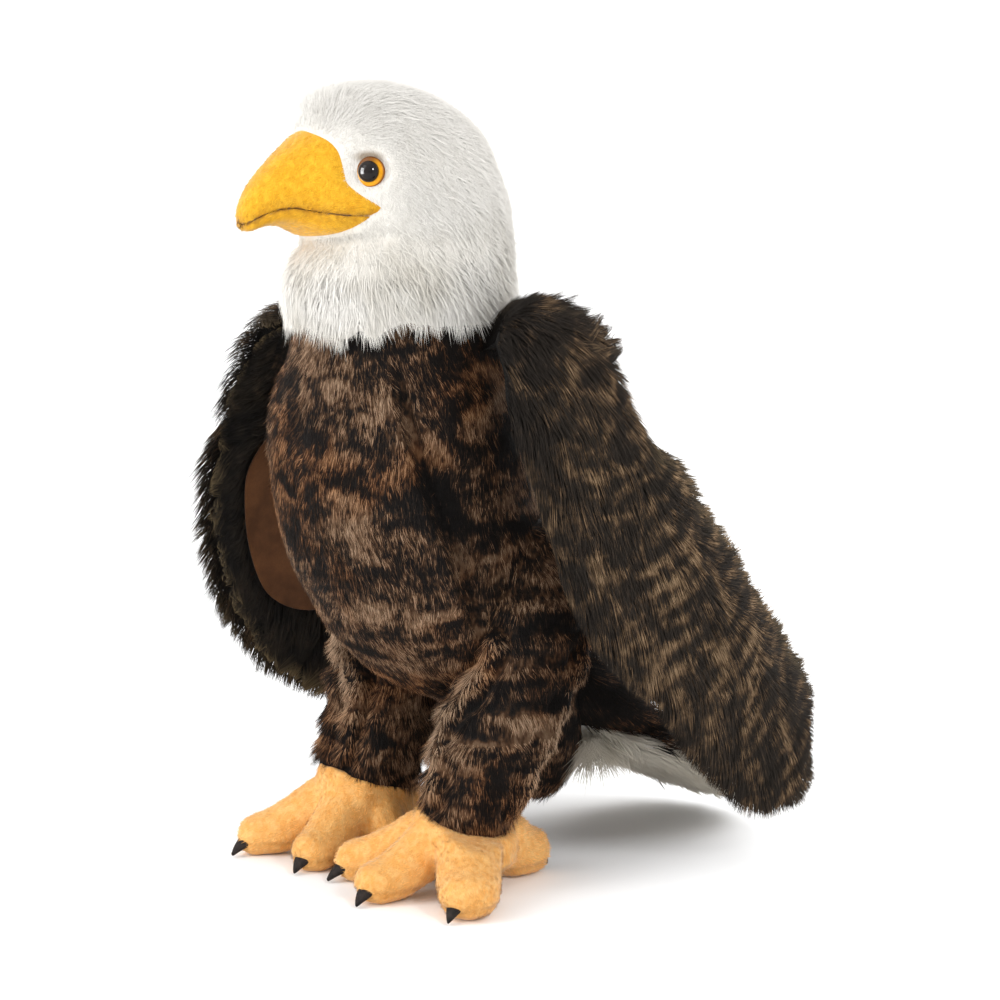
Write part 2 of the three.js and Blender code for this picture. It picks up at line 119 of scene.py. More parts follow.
TRUNK = [
    [0, -8, 238, 40, 38, 38],
    [0, -9, 232, 48, 42.5, 44],
    [0, -12, 214, 54, 44.2, 50],
    [0, -15, 190, 61, 45.9, 57],
    [0, -12, 164, 62, 48.2, 59],
    [0, -3, 138, 61, 47, 58],
    [0, 14, 112, 56, 42, 52],
    [0, 36, 89, 46, 31, 43],
    [0, 53, 63, 36, 22, 32],
    [0, 63, 42, 27, 18, 25],
    [0, 68, 29, 17, 13, 16],
    [0, 70, 22, 6, 6, 6],
]
RUMP = [
    [0, 40, 92, 18, 16, 14],
    [0, 58, 82, 34, 22, 20],
    [0, 78, 70, 38, 21, 20],
    [0, 98, 59, 36, 16, 18],
    [0, 116, 50, 32, 11.5, 14],
    [0, 128, 44, 25, 8, 10],
    [0, 134, 41, 12, 4.5, 5],
    [0, 136, 40, 4, 2, 2],
]
HEAD = [
    [330, -9, 0, 0, 0],
    [328, -10, 14, 15, 13.5],
    [322.5, -10, 26, 25.2, 28],
    [314, -6.5, 33.5, 31.4, 37],
    [306, -4, 38, 36.8, 41.9],
    [298, -2, 40, 40, 44.2],
    [289, 0, 41.5, 43, 45.8],
    [281, 1.5, 42.5, 43, 47],
    [273, 3, 43, 42.8, 47.2],
    [265, 3, 45, 43, 48.5],
    [256, 1, 49, 46.5, 49.7],
    [248, 0, 51.5, 47.2, 51],
    [240, 0, 52.5, 46, 50],
    [232, 0, 51.5, 45, 48],
    [225, 0, 49, 43, 46],
    [216, 0, 40, 36, 38],
]
BEAK = [
    [14, 304, 268, 26, 1],
    [17, 311, 266, 35, 1],
    [25, 312.3, 265.6, 36, 1],
    [32, 311.4, 266, 31, 0.6],
    [38, 309.8, 266.8, 25.5, 0.15],
    [44, 306, 269.2, 20.2, 0],
    [50.5, 300.4, 271.3, 16.4, 0],
    [56.5, 294.4, 271.2, 13, 0],
    [61, 289.4, 269.8, 10.4, 0],
    [64.2, 284.8, 268.8, 8.2, 0],
    [66.6, 280.2, 270, 5.4, 0],
    [67.8, 276, 273.4, 1.2, 0],
]
BEAK_BASE = [
    [0, 0],
    [0.015, 0.42],
    [0.05, 0.66],
    [0.1, 0.79],
    [0.2, 0.94],
    [0.27, 1],
    [0.37, 0.86],
    [0.49, 0.72],
    [0.62, 0.68],
    [0.755, 0.675],
    [0.87, 0.57],
    [0.955, 0.35],
    [0.985, 0.2],
    [1, 0],
]
BEAK_WIDEST = 0.3
MOUTH = [
    [0, 274],
    [20, 274.6],
    [34, 275],
    [43, 276.4],
    [50, 277.8],
    [56, 277.2],
    [61, 275.2],
    [66, 272],
    [72, 269.4],
]
HEAD_AXIS = np.array([0.0, -12.4, 0.0])
HEAD_YAW = math.radians(-14)
EYE_BEARING, EYE_TURN = math.radians(50), math.radians(44)
EYE_HEIGHT, EYE_RADIUS, PUPIL_RADIUS, EYE_OUT = 292.0, 5.9, 4.2, 39.4
WING = [
    [30, -4, 206, 12, 13, 10, 0],
    [50, 0, 218, 8, 16, 13, 0],
    [65, 0, 225, 9, 22, 15, 4],
    [79, -6, 220.5, 24, 28, 17, 8],
    [87, -5, 206, 36, 31, 17, 15],
    [91, -2, 191, 42, 35, 17, 25],
    [94, 4, 171, 48, 44, 17, 34],
    [95, 17, 148, 53, 53, 17, 36],
    [95, 33, 128, 52, 53, 16, 37],
    [93, 51, 112, 47, 51, 16, 38],
    [92, 68, 96, 41, 48, 15, 38],
    [89, 85, 79, 38.5, 48, 14, 38],
    [86, 102, 62, 36, 49.5, 13, 38],
    [84, 116, 49.5, 32, 48, 12, 38],
    [83, 128, 40, 24, 42, 11, 38],
    [83, 138, 33, 13, 29, 8, 38],
    [83, 145, 31, 4, 10, 3, 38],
]
REACH = {
    "left": [0, 0, 0, 2, 7, 5, 0, 0, 0, 0, 0, 0, 0, 0, 0, 0, 0],
    "right": [0, 0, 0, -12, -12, -5, 4, 12, 19, 21, 18, 12, 5, 1, 0, 0, 0],
}
WRAP, CAMBER, FRINGE, LINING = math.radians(10), 5.0, 22.0, 3.0
TAIL = [
    [0, 66, 59, 16, 7, 9],
    [0, 80, 54.5, 26, 8, 10],
    [0, 98, 47, 33, 8, 9],
    [0, 116, 39.5, 38, 8, 9],
    [0, 134, 30.5, 40, 8, 9],
    [0, 150, 21.5, 38, 7, 8],
    [0, 162, 14.5, 30, 5.5, 6.5],
    [0, 169, 10.5, 17, 4, 4.5],
    [0, 172, 9, 4, 2, 2],
]
LEGS = {
    "left": [
        [40, 22, 152, 8, 8, 8],
        [42, 22, 142, 20, 21, 24],
        [43, 21, 122, 26, 29, 32],
        [42, 18.5, 100, 27.5, 29, 32],
        [39, 14, 77, 27, 28, 28],
        [36.5, 7, 56, 26, 26.5, 25],
        [34, 1, 40, 24.5, 25, 22],
        [33, -1, 29, 22, 23, 19.5],
        [33, -1, 16, 15, 17, 14],
    ],
    "right": [
        [-40, 24, 152, 8, 8, 8],
        [-41, 24, 142, 19, 20, 22],
        [-42, 23, 122, 24, 27, 29],
        [-43, 21, 100, 26, 28, 29],
        [-43, 17.5, 79, 26, 27, 27],
        [-43.5, 13, 58, 25.5, 26, 26],
        [-44, 9, 43, 25, 25.5, 25],
        [-44, 7.5, 31, 23.5, 25, 22.5],
        [-44, 7.5, 18, 16, 18, 15],
    ],
}
RIM = {"left": (32, -1, 30, 0.28, 0.1), "right": (-44, 7, 35, 0.17, 0.26)}
FEET = {
    "left": {
        "at": (32, -1),
        "toes": {
            "middle": (-13, 40.5, 10.2, 9.6, 8),
            "inner": (-58, 48, 9.2, 9.4, -18),
            "outer": (49, 41.5, 12.8, 10.8, 16),
            "hind": (184, 33, 11.2, 11.4, 184),
        },
    },
    "right": {
        "at": (-44, 7),
        "toes": {
            "middle": (15, 37, 10.8, 9.6, 12),
            "inner": (77, 31, 9, 9, 60),
            "outer": (-34.4, 46.5, 10, 9.8, -8),
            "hind": (195, 39, 10.5, 10.5, 195),
        },
    },
}
SOLE_TRIM, CLAW_LENGTH, CLAW_RADIUS = 1.4, 10.5, 3.5


def head_place(p):
    c, s = math.cos(HEAD_YAW), math.sin(HEAD_YAW)
    q = np.array(p, float)
    q[:, 0], q[:, 1] = c * p[:, 0] - s * p[:, 1], s * p[:, 0] + c * p[:, 1]
    return q + HEAD_AXIS


def head_local(p):
    q = p - HEAD_AXIS
    c, s = math.cos(-HEAD_YAW), math.sin(-HEAD_YAW)
    r = np.array(q)
    r[:, 0], r[:, 1] = c * q[:, 0] - s * q[:, 1], s * q[:, 0] + c * q[:, 1]
    return r


def spine_frame(table, v, side=(1.0, 0, 0)):
    r = along(table, v)
    t = unit(
        along(table, np.minimum(v + 0.02, 1))[:, :3]
        - along(table, np.maximum(v - 0.02, 0))[:, :3]
    )
    s = np.broadcast_to(np.asarray(side, float), t.shape)
    s = tangential(s, t)
    return r, t, s, np.cross(t, s)


def spine_at(table, grow, side=(1.0, 0, 0)):
    def at(u, v):
        r, t, s, front = spine_frame(table, v, side)
        a = -2 * math.pi * u
        end = ((v > 1e-6) & (v < 1 - 1e-6)).astype(float)
        ra = end * np.maximum(r[:, 3] + grow, 0.3)
        rb = end * np.maximum(np.where(np.cos(a) > 0, r[:, 4], r[:, 5]) + grow, 0.3)
        # the two halves meet without a step
        blend_ = 0.5 + 0.5 * np.tanh(np.cos(a) * 4)
        rb = end * np.maximum(blend_ * r[:, 4] + (1 - blend_) * r[:, 5] + grow, 0.3)
        return r[:, :3] + s * (ra * np.sin(a))[:, None] + front * (rb * np.cos(a))[:, None]

    return at


# --- surfaces: each is a function of u (round) and v (along), both 0 to 1


def eye_centre(sign):
    return np.array(
        [sign * math.sin(EYE_BEARING) * EYE_OUT, -math.cos(EYE_BEARING) * EYE_OUT, EYE_HEIGHT]
    )


def eye_axis(sign):
    return unit(np.array([sign * math.sin(EYE_TURN), -math.cos(EYE_TURN), 0.06]))


# where the white pile's tips end round the neck: bearing from the toy's front (degrees), height (mm)
HEM = np.array([
    [-180, 229], [-150, 231], [-120, 226], [-90, 230], [-62, 226], [-35, 229.5], [-15, 225.5], [-3.8, 227.4],
    [3.7, 225.2], [10, 223.4], [16, 222.4], [21, 221.7], [25.5, 224.5], [29.4, 227.3], [33.7, 224.7], [38, 222.4],
    [42, 224.7], [45.6, 227.4], [51, 229], [57, 230.5], [64.6, 229], [73, 227.2], [85, 227.4], [98, 227.4],
    [108, 231.5], [125, 228], [150, 231], [180, 229],
])


def hem_height(bearing):
    return np.interp((bearing + 180.0) % 360.0 - 180.0, HEM[:, 0], HEM[:, 1])


def beak_gap(x, f, z):
    """Roughly how far a point of the face lies outside the beak's root, in mm."""
    t = np.clip((z - 266) / 47.0, 0, 1)
    w = 36 * np.interp(t, *np.array(BEAK_BASE).T)
    side = (np.abs(x) - w) / 0.62
    ends = np.maximum(266 - z, z - 313)
    return np.where(f > 4, np.maximum(side, ends), 60.0)


def head_depth(x, f, z):
    """How deep the skin lies under the tips of the pile: short on the face, long on the neck."""
    d = 1.7 + 2.1 * smooth(-z, -285, -238)
    d = d * (0.50 + 0.50 * smooth(beak_gap(x, f, z), -4, 22))
    # the forehead stands a little over the top of the beak
    d = d - 1.9 * smooth(z, 300, 311) * (1 - smooth(z, 316, 329)) * smooth(f, 8, 30)
    hem = hem_height(np.degrees(np.arctan2(x, f)) + math.degrees(HEAD_YAW))
    return d + 14.0 * smooth(hem + 8.0 - z, 0, 12)


def head_at(extra=0.0):
    def at(u, v):
        r = along(HEAD, v)
        a = 2 * math.pi * u
        end = ((v > 1e-6) & (v < 1 - 1e-6)).astype(float)
        w = 0.5 + 0.5 * np.tanh(np.cos(a) * 4)
        yy = w * r[:, 4] + (1 - w) * r[:, 3]
        d = head_depth(r[:, 2] * np.sin(a), -(r[:, 1] + yy * np.cos(a)), r[:, 0]) - extra
        p = np.stack(
            [
                end * np.maximum(r[:, 2] - d, 0.2) * np.sin(a),
                r[:, 1] + end * np.maximum(yy - d, 0.2) * np.cos(a),
                r[:, 0] - np.where(v < 0.2, (1 - v / 0.2) * d, 0),
            ],
            1,
        )
        # the eyes are drawn in a little, and a low brow stands over each
        for sign in (1, -1):
            c = eye_centre(sign)
            q = p - c
            dist = np.sqrt(q[:, 0] ** 2 + q[:, 1] ** 2 + q[:, 2] ** 2)
            n = unit(p * np.array([1, 1, 0]))
            p = p - n * (3.1 * np.exp(-((dist / 8.6) ** 4)))[:, None]
            brow = np.exp(-(((q[:, 2] - 9.5) / 4.0) ** 2) - ((np.hypot(q[:, 0], q[:, 1])) / 12) ** 2)
            p = p + n * (1.1 * brow)[:, None]
        return head_place(p)

    return at


def wing_frame(side, v):
    r = along(WING, v)
    t = unit(
        along(WING, np.minimum(v + 0.02, 1))[:, :3]
        - along(WING, np.maximum(v - 0.02, 0))[:, :3]
    )
    turn = WRAP * np.clip((v - 0.1) / 0.16, 0, 1)
    ang = np.radians(r[:, 6])
    chord = np.stack([-np.sin(turn), np.cos(ang), np.sin(ang)], 1)
    chord = tangential(chord, t)
    out = unit(np.cross(t, chord))
    flip = (out @ np.array([0.6, 0, 1.0])) < 0
    out[flip] *= -1
    centre = r[:, :3].copy()
    if side == "right":
        for q in (centre, chord, out, t):
            q[:, 0] *= -1
    reach = along([[k] for k in REACH[side]], v)[:, 0]
    return centre, chord, out, t, r[:, 3] + reach, r[:, 4], r[:, 5]


def camber(c, front, rear):
    return CAMBER * (1 - (c / np.maximum(front, rear)) ** 2)


def wing_core(side):
    """The stuffed pad inside a wing's pile."""

    def at(u, v):
        v2 = 0.02 + 0.945 * v
        centre, chord, out, t, front, rear, thick = wing_frame(side, v2)
        end = ((v > 1e-6) & (v < 1 - 1e-6)).astype(float)
        a = 2 * math.pi * u
        share = np.minimum(1, front / 34)
        root = (1 - smooth(v2, 0.12, 0.34)) * (1.0 if side == "left" else 0.85)
        tuck = 0.80 if side == "right" else 0.80 - 0.20 * smooth(v2, 0.35, 0.6)
        f = np.maximum(front - FRINGE * tuck * share * (1 - 0.75 * root), 3)
        b = np.maximum(rear - 8 + 1.5 * root, 3)
        tip = np.sqrt(np.clip(1 - np.clip((v - 0.86) / 0.14, 0, 1) ** 2.2, 0, 1))
        c0 = np.cos(a)
        c = end * tip * np.where(c0 < 0, c0 * f, c0 * b)
        s0 = np.sin(a)
        pad = np.maximum(thick - 7.5 + 0.5 * root, 2.0) * tip
        n = camber(c, front, rear) + 0.4 + np.where(s0 > 0, end * pad * np.abs(s0) ** 0.75, 0)
        return centre + chord * c[:, None] + out * n[:, None]

    return at


def lining_back(v):
    """How far the lining's front edge is sewn in behind the fringe."""
    return 6.0 + 38.0 * (1 - smooth(v, 0.275, 0.385)) + 26.0 * smooth(v, 0.47, 0.60) - 22.0 * smooth(v, 0.78, 0.92)


def lining_at(side):
    def at(u, v):
        lo, hi = 0.275, 0.94
        v2 = lo + (hi - lo) * v
        centre, chord, out, t, front, rear, thick = wing_frame(side, v2)
        end = ((v > 1e-6) & (v < 1 - 1e-6)).astype(float)
        a = 2 * math.pi * u
        round_ = np.sqrt(np.clip(1 - np.abs(2 * v - 1) ** 6, 0, 1))
        share = np.minimum(1, front / 34)
        f = np.maximum(3, front - FRINGE * share - 1 - lining_back(v2))
        b = np.maximum(3, rear - 5)
        c0 = np.cos(a)
        c = end * round_ * np.where(c0 < 0, c0 * f, c0 * b)
        edge = np.abs(c0)
        puff = (1 - edge**3) * 2.2
        s0 = np.sin(a)
        base = camber(c, front, rear) - 0.3
        n = base - LINING / 2 + end * np.sign(s0) * np.abs(s0) ** 0.6 * (LINING / 2) * round_
        p0 = centre + chord * c[:, None]
        wr = (noise(p0 * np.array([1, 1, 1]), 17, 5) - 0.5) * 2.0 + (noise(p0, 7, 6) - 0.5) * 0.7
        n = n - np.where(s0 < 0, (puff + wr * (1 - edge**4)) * end * round_, 0)
        return p0 + out * n[:, None]

    return at


def table_at(table, x):
    T = np.asarray(table, float)
    return np.interp(x, T[:, 0], T[:, 1])


def beak_width(f_row, t):
    """Half width of the beak at share t of its height."""
    w, k = f_row[:, 3], f_row[:, 4]
    below = np.clip(1 - np.abs((BEAK_WIDEST - t) / BEAK_WIDEST) ** 4, 0, 1)
    above = np.clip(1 - np.abs((t - BEAK_WIDEST) / (1 - BEAK_WIDEST)) ** 3, 0, 1)
    rnd = np.sqrt(np.where(t < BEAK_WIDEST, below, above))
    base = table_at(BEAK_BASE, t)
    k = np.clip(k, 0, 1)
    return (w - 1.7 * k) * ((1 - k) * rnd + k * base)


def beak_half(upper):
    def at(u, v):
        row = along(BEAK, 0.06 + 0.94 * v)
        f, top, bottom = row[:, 0], row[:, 1], row[:, 2]
        end = ((v > 1e-6) & (v < 1 - 1e-6)).astype(float)
        mouth = table_at(MOUTH, f)
        tm = np.clip((mouth - bottom) / np.maximum(top - bottom, 0.1), 0.02, 0.98)
        # u runs 0..0.75 over the outside, 0.75..1 back along the mouth
        outside = u < 0.75
        s = np.where(outside, u / 0.75, (u - 0.75) / 0.25)
        ang = math.pi * s
        if upper:
            q = 1 - tm
            t = np.where(outside, 1 - q * (1 - np.sin(ang)), tm)
            t = np.where(outside, tm + (1 - tm) * np.sin(ang) ** 1.0, tm)
        else:
            t = np.where(outside, tm - tm * np.sin(ang), tm)
        wt = beak_width(row, np.clip(t, 0.0, 1.0))
        wm = beak_width(row, tm)
        cosv = np.cos(ang)
        x = np.where(outside, np.sign(cosv) * wt, 0)
        # at the mouth, the edge rolls in
        x_in = -wm * (1 - 2 * s)
        x = np.where(outside, x, x_in)
        z = bottom + (top - bottom) * t
        roll = np.exp(-(((z - mouth) / 1.3) ** 2))
        x = x * (1 - np.where(outside, roll * np.minimum(0.8 / np.maximum(wm, 1.5), 0.3), 0))
        if upper:
            z = np.where(outside, z, mouth + 0.9 * (1 - (1 - 2 * s) ** 2)) + 0.05
        else:
            z = np.where(outside, z, mouth - 0.9 * (1 - (1 - 2 * s) ** 2)) - 0.1
        z = np.where(end > 0, z, (top + bottom) / 2)
        return head_place(np.stack([end * x, -f, z], 1))

    return at


# ------------------------------------------------------------------ meshes

made = {}


def new_mesh(name, co, faces, uv=None, attrs=None, smooth_=True, normals=None):
    """co in mm; faces as a (n, 3) or (n, 4) array."""
    me = bpy.data.meshes.new(name)
    n, k = faces.shape
    me.vertices.add(len(co))
    me.vertices.foreach_set("co", ((co + SHIFT) * MM).astype(np.float32).ravel())
    me.loops.add(n * k)
    me.loops.foreach_set("vertex_index", faces.astype(np.int32).ravel())
    me.polygons.add(n)
    me.polygons.foreach_set("loop_start", np.arange(0, n * k, k, dtype=np.int32))
    me.polygons.foreach_set("loop_total", np.full(n, k, np.int32))
    me.polygons.foreach_set("use_smooth", np.full(n, smooth_))
    if uv is not None:
        layer = me.uv_layers.new(name="OFBake")
        layer.data.foreach_set("uv", uv[faces.ravel()].astype(np.float32).ravel())
    for key, val in (attrs or {}).items():
        if val.ndim == 2:
            a = me.attributes.new(key, "FLOAT_VECTOR", "POINT")
            a.data.foreach_set("vector", val.astype(np.float32).ravel())
        else:
            a = me.attributes.new(key, "FLOAT", "POINT")
            a.data.foreach_set("value", val.astype(np.float32))
    me.update()
    me.validate()
    if normals is not None:
        me.normals_split_custom_set_from_vertices(normals.astype(np.float32))
    ob = bpy.data.objects.new(name, me)
    bpy.context.scene.collection.objects.link(ob)
    made[name] = ob
    return ob


def grid(at, nu, nv):
    """A closed tube of quads, cut into triangles, with triangle fans at its two ends. Returns points, (u, v) and
    triangles.
    """
    v = np.linspace(0, 1, nv + 1)[1:-1]
    u = np.arange(nu) / nu
    U, Vv = np.meshgrid(u, v)
    body = at(U.ravel(), Vv.ravel())
    ends = at(np.array([0.0, 0.0]), np.array([0.0, 1.0]))
    co = np.concatenate([body, ends])
    uv = np.concatenate([np.stack([U.ravel(), Vv.ravel()], 1), [[0.5, 0.0], [0.5, 1.0]]])
    rows = nv - 1
    i = np.arange(nu)
    j = np.arange(rows - 1)
    I, J = np.meshgrid(i, j)
    a = (J * nu + I).ravel()
    b = (J * nu + (I + 1) % nu).ravel()
    quads = np.stack([a, b, b + nu, a + nu], 1)
    s, e = len(body), len(body) + 1
    last = (rows - 1) * nu
    t1 = np.stack([np.full(nu, s), (i + 1) % nu, i], 1)
    t2 = np.stack([np.full(nu, e), last + i, last + (i + 1) % nu], 1)
    tris = np.concatenate(
        [quads[:, [0, 1, 2]], quads[:, [0, 2, 3]], t1, t2]
    )
    return co, uv, tris


def outward(co, tris):
    """Turns the faces so that the closed mesh has a positive volume."""
    a, b, c = co[tris[:, 0]], co[tris[:, 1]], co[tris[:, 2]]
    vol = (a * np.cross(b, c)).sum()
    return tris if vol > 0 else tris[:, ::-1]


def surface(name, at, nu, nv, shape=None, extra=None):
    co, uv, tris = grid(at, nu, nv)
    tris = outward(co, tris)
    if shape is not None:
        co = shape(co)
    attrs = {"mark": (co + SHIFT) * MM, "lay": np.stack([uv[:, 0], uv[:, 1], np.zeros(len(co))], 1)}
    attrs["along"] = np.zeros(len(co))
    attrs["rnd"] = np.full(len(co), 0.5)
    attrs.update(extra(co, uv) if extra else {})
    ob = new_mesh(name, co, tris, uv * 0.98 + 0.01, attrs)
    return ob


def surf_point(at, u, v, flip=None):
    """Points, outward normals and the two tangents of a surface."""
    e = 1e-3
    v = np.clip(v, 2e-3, 1 - 2e-3)
    p = at(u, v)
    du = (at((u + e) % 1, v) - at((u - e) % 1, v)) / (2 * e)
    dv = (at(u, v + e) - at(u, v - e)) / (2 * e)
    n = unit(np.cross(du, dv))
    return p, n, du, dv


class Coat:
    """Where the pile grows on one surface."""

    def __init__(self, at, centre_of, seed):
        self.at, self.centre_of = at, centre_of
        self.rng = np.random.default_rng(seed)

    def roots(self, n, weight, nu=220, nv=220, v_range=(0.0, 1.0)):
        u = (np.arange(nu) + 0.5) / nu
        v = v_range[0] + (v_range[1] - v_range[0]) * (np.arange(nv) + 0.5) / nv
        U, Vv = [x.ravel() for x in np.meshgrid(u, v)]
        p, nn, du, dv = surf_point(self.at, U, Vv)
        nn = self.turn_out(p, nn, Vv)
        area = np.linalg.norm(np.cross(du, dv), axis=1)
        w = area * weight(p, nn, U, Vv)
        total = w.sum()
        c = np.cumsum(w) / total
        pick = np.searchsorted(c, (np.arange(n) + self.rng.random(n)) / n)
        pick = np.minimum(pick, len(U) - 1)
        us = (U[pick] + (self.rng.random(n) - 0.5) / nu) % 1
        vs = np.clip(
            Vv[pick] + (self.rng.random(n) - 0.5) * (v_range[1] - v_range[0]) / nv, 0.004, 0.996
        )
        p, nn, du, dv = surf_point(self.at, us, vs)
        nn = self.turn_out(p, nn, vs)
        return p, nn, us, vs

    def turn_out(self, p, n, v):
        c = self.centre_of(v, p)
        s = np.sign(dot(n, p - c))
        s[s == 0] = 1
        return n * s


def inside(points, trees, margin=0.0):
    """Which points (mm) lie inside any of these closed trees (metres)."""
    out = np.zeros(len(points), bool)
    P = (points + SHIFT) * MM
    for tree, lo, hi in trees:
        near = np.where(((P > lo) & (P < hi)).all(1) & ~out)[0]
        for i in near:
            loc, nor, idx, dist = tree.find_nearest(P[i])
            if loc is None:
                continue
            d = (Vector(P[i]) - loc).dot(nor)
            # beside a sharp edge the nearest face's side says nothing, so only squarely behind counts
            if d < -margin and d < -0.9 * dist:
                out[i] = True
    return out


def tree_of(ob):
    me = ob.data
    co = np.zeros(len(me.vertices) * 3, np.float32)
    me.vertices.foreach_get("co", co)
    co = co.reshape(-1, 3)
    me.calc_loop_triangles()
    f = np.zeros(len(me.loop_triangles) * 3, np.int32)
    me.loop_triangles.foreach_get("vertices", f)
    t = BVHTree.FromPolygons([tuple(c) for c in co.tolist()], f.reshape(-1, 3).tolist())
    return t, co.min(0), co.max(0)


def clump(p, tip, size, pull, rng):
    """Draws the tips of neighbouring strands together into tufts."""
    n = len(p)
    m = max(2, int(n / max(size, 1)))
    centres = rng.choice(n, m, replace=False)
    kd = KDTree(m)
    for k, i in enumerate(centres):
        kd.insert(p[i], k)
    kd.balance()
    own = np.array([kd.find(q)[1] for q in p])
    target = tip[centres[own]] - p[centres[own]]
    free = tip - p
    mine = p + free * (1 - pull)[:, None] + (target + (p[centres[own]] - p)) * pull[:, None]
    return mine, own


def stray(points, trees):
    """How far (mm) each point stands out of the nearest of some closed trees; negative inside."""
    P = (points + SHIFT) * MM
    out = np.full(len(P), 1e9)
    for tree, lo, hi in trees:
        for i in range(len(P)):
            loc, nor, idx, dist = tree.find_nearest(P[i])
            if (Vector(P[i]) - loc).dot(nor) < -0.9 * dist:
                dist = -dist
            out[i] = min(out[i], dist / MM)
    return out


def hold_in(root, tip, trees, over):
    """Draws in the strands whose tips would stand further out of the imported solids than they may."""
    tip = tip.copy()
    full = np.linalg.norm(tip - root, axis=1)
    act = np.arange(len(tip))
    for step in range(5):
        s = stray(tip[act], trees) - over[act]
        act, s = act[s > 0], s[s > 0]
        if not len(act):
            break
        v = tip[act] - root[act]
        L = np.linalg.norm(v, axis=1)
        k = np.maximum(1 - (s + 0.4) / np.maximum(L, 1), 0.12 * full[act] / np.maximum(L, 0.1))
        tip[act] = root[act] + v * np.minimum(k, 1)[:, None]
    return tip


def strands(
    name,
    p,
    n,
    d,
    length,
    width,
    lift,
    uv,
    lay,
    rng,
    seg=2,
    bend=0.5,
    droop=0.0,
    tuft=10,
    pull=0.4,
    jitter=0.15,
    soft=0.6,
    sink=0.6,
    flat=0.6,
    material=None,
    max_tris=190000,
    extra=None,
    hull=None,
    over=1.5,
    face=None,
):
    """Closed tapering spikes on the points p, lying along d and rising from the surface by lift (radians)."""
    N = len(p)
    if N == 0:
        return []
    length = np.broadcast_to(length, N).astype(float)
    width = np.broadcast_to(width, N).astype(float)
    lift = np.broadcast_to(lift, N).astype(float)
    pull = np.broadcast_to(pull, N).astype(float)
    droop = np.broadcast_to(droop, N).astype(float)
    face = n if face is None else face  # the side the pile is shaded from
    d = tangential(d + jitter * rng.normal(size=(N, 3)), n)
    l0 = lift + 0.28
    l1 = np.maximum(lift - bend * lift - 0.02, -0.06)
    d0 = d * np.cos(l0)[:, None] + n * np.sin(l0)[:, None]
    d1 = d * np.cos(l1)[:, None] + n * np.sin(l1)[:, None]
    d1 = unit(d1 + DOWN * droop[:, None])
    root = p - n * sink
    tip = root + (d0 * 0.45 + d1 * 0.55) * length[:, None]
    if tuft > 1:
        tip, own = clump(p, tip, tuft, pull, rng)
    if hull:
        tip = hold_in(root, tip, hull, np.broadcast_to(over, N).astype(float))
        # a strand with no room left for it is dropped
        room = np.linalg.norm(tip - root, axis=1) > 0.32 * length
        root, tip, d0, n, uv, lay, length, width, face = keep(room, root, tip, d0, n, uv, lay, length, width, face)
        N = len(root)
    pts = [root]
    chord_ = tip - root
    arch = (d0 * length[:, None] * 0.5 - chord_ * 0.5) * 0.5
    for k in range(1, seg):
        s = k / seg
        pts.append(root + chord_ * s + arch * (4 * s * (1 - s)))
    pts.append(tip)
    axis = unit(tip - root)
    sv = unit(np.cross(axis, n))
    bv = unit(np.cross(sv, axis))
    prof = {1: [1.0, 0], 2: [0.85, 0.9, 0], 3: [0.8, 1.0, 0.72, 0]}[seg]
    rnd = rng.random(N)
    co, nor, alo, uvs = [], [], [], []
    for k in range(seg):
        r = (width * 0.5 * prof[k])[:, None]
        t = k / seg
        for a, b, m in ((1.0, -0.3, 0.0), (-1.0, -0.3, 1.0), (0.0, 1.0, 0.5)):
            co.append(pts[k] + sv * r * a + bv * r * b * flat)
            ring = unit(sv * a * 0.8 + bv * b)
            nor.append(unit(face * soft + ring * (1 - soft) + axis * 0.12))
            alo.append(np.full(N, t))
            uvs.append(uv + np.array([t - 0.5, m - 0.5]) * 0.003)
    co.append(pts[seg])
    nor.append(unit(face * soft + bv * (1 - soft) + axis * 0.3))
    alo.append(np.ones(N))
    uvs.append(uv + np.array([0.5, 0.0]) * 0.003)
    per = 3 * seg + 1
    co = np.stack(co, 1)
    nor = np.stack(nor, 1)
    alo = np.stack(alo, 1)
    uvs = np.stack(uvs, 1)
    f = [(0, 1, 2)]
    for k in range(seg - 1):
        o = 3 * k
        for a, b in ((0, 1), (1, 2), (2, 0)):
            f.append((o + b, o + a, o + 3 + a))
            f.append((o + b, o + 3 + a, o + 3 + b))
    o = 3 * (seg - 1)
    for a, b in ((0, 1), (1, 2), (2, 0)):
        f.append((o + b, o + a, o + 3))
    f = np.array(f)
    # facing out: checked on one spike
    v0 = co[0][f]
    if (v0[:, 0] * np.cross(v0[:, 1], v0[:, 2])).sum() < 0:
        f = f[:, ::-1]
    tris = len(f)
    cap = max_tris // tris
    parts = int(math.ceil(N / cap))
    out = []
    order = np.arange(N)
    for part in range(parts):
        pick = order[part * N // parts : (part + 1) * N // parts]
        m = len(pick)
        faces = (f[None] + (np.arange(m) * per)[:, None, None]).reshape(-1, 3)
        ob = new_mesh(
            name if parts == 1 else f"{name}_{part + 1}",
            co[pick].reshape(-1, 3),
            faces,
            np.clip(uvs[pick].reshape(-1, 2) * 0.98 + 0.01, 0, 1),
            {
                "mark": (co[pick].reshape(-1, 3) + SHIFT) * MM,
                "lay": np.repeat(lay[pick], per, 0),
                "along": alo[pick].ravel(),
                "rnd": np.repeat(rnd[pick], per),
                **{k: np.repeat(x[pick], per) for k, x in (extra or {}).items()},
            },
            normals=nor[pick].reshape(-1, 3),
        )
        if material:
            ob.data.materials.append(material)
        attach(ob, "root")
        out.append(ob)
        stats[ob.name] = len(faces)
    return out


stats = {}

# ------------------------------------------------------------------ materials


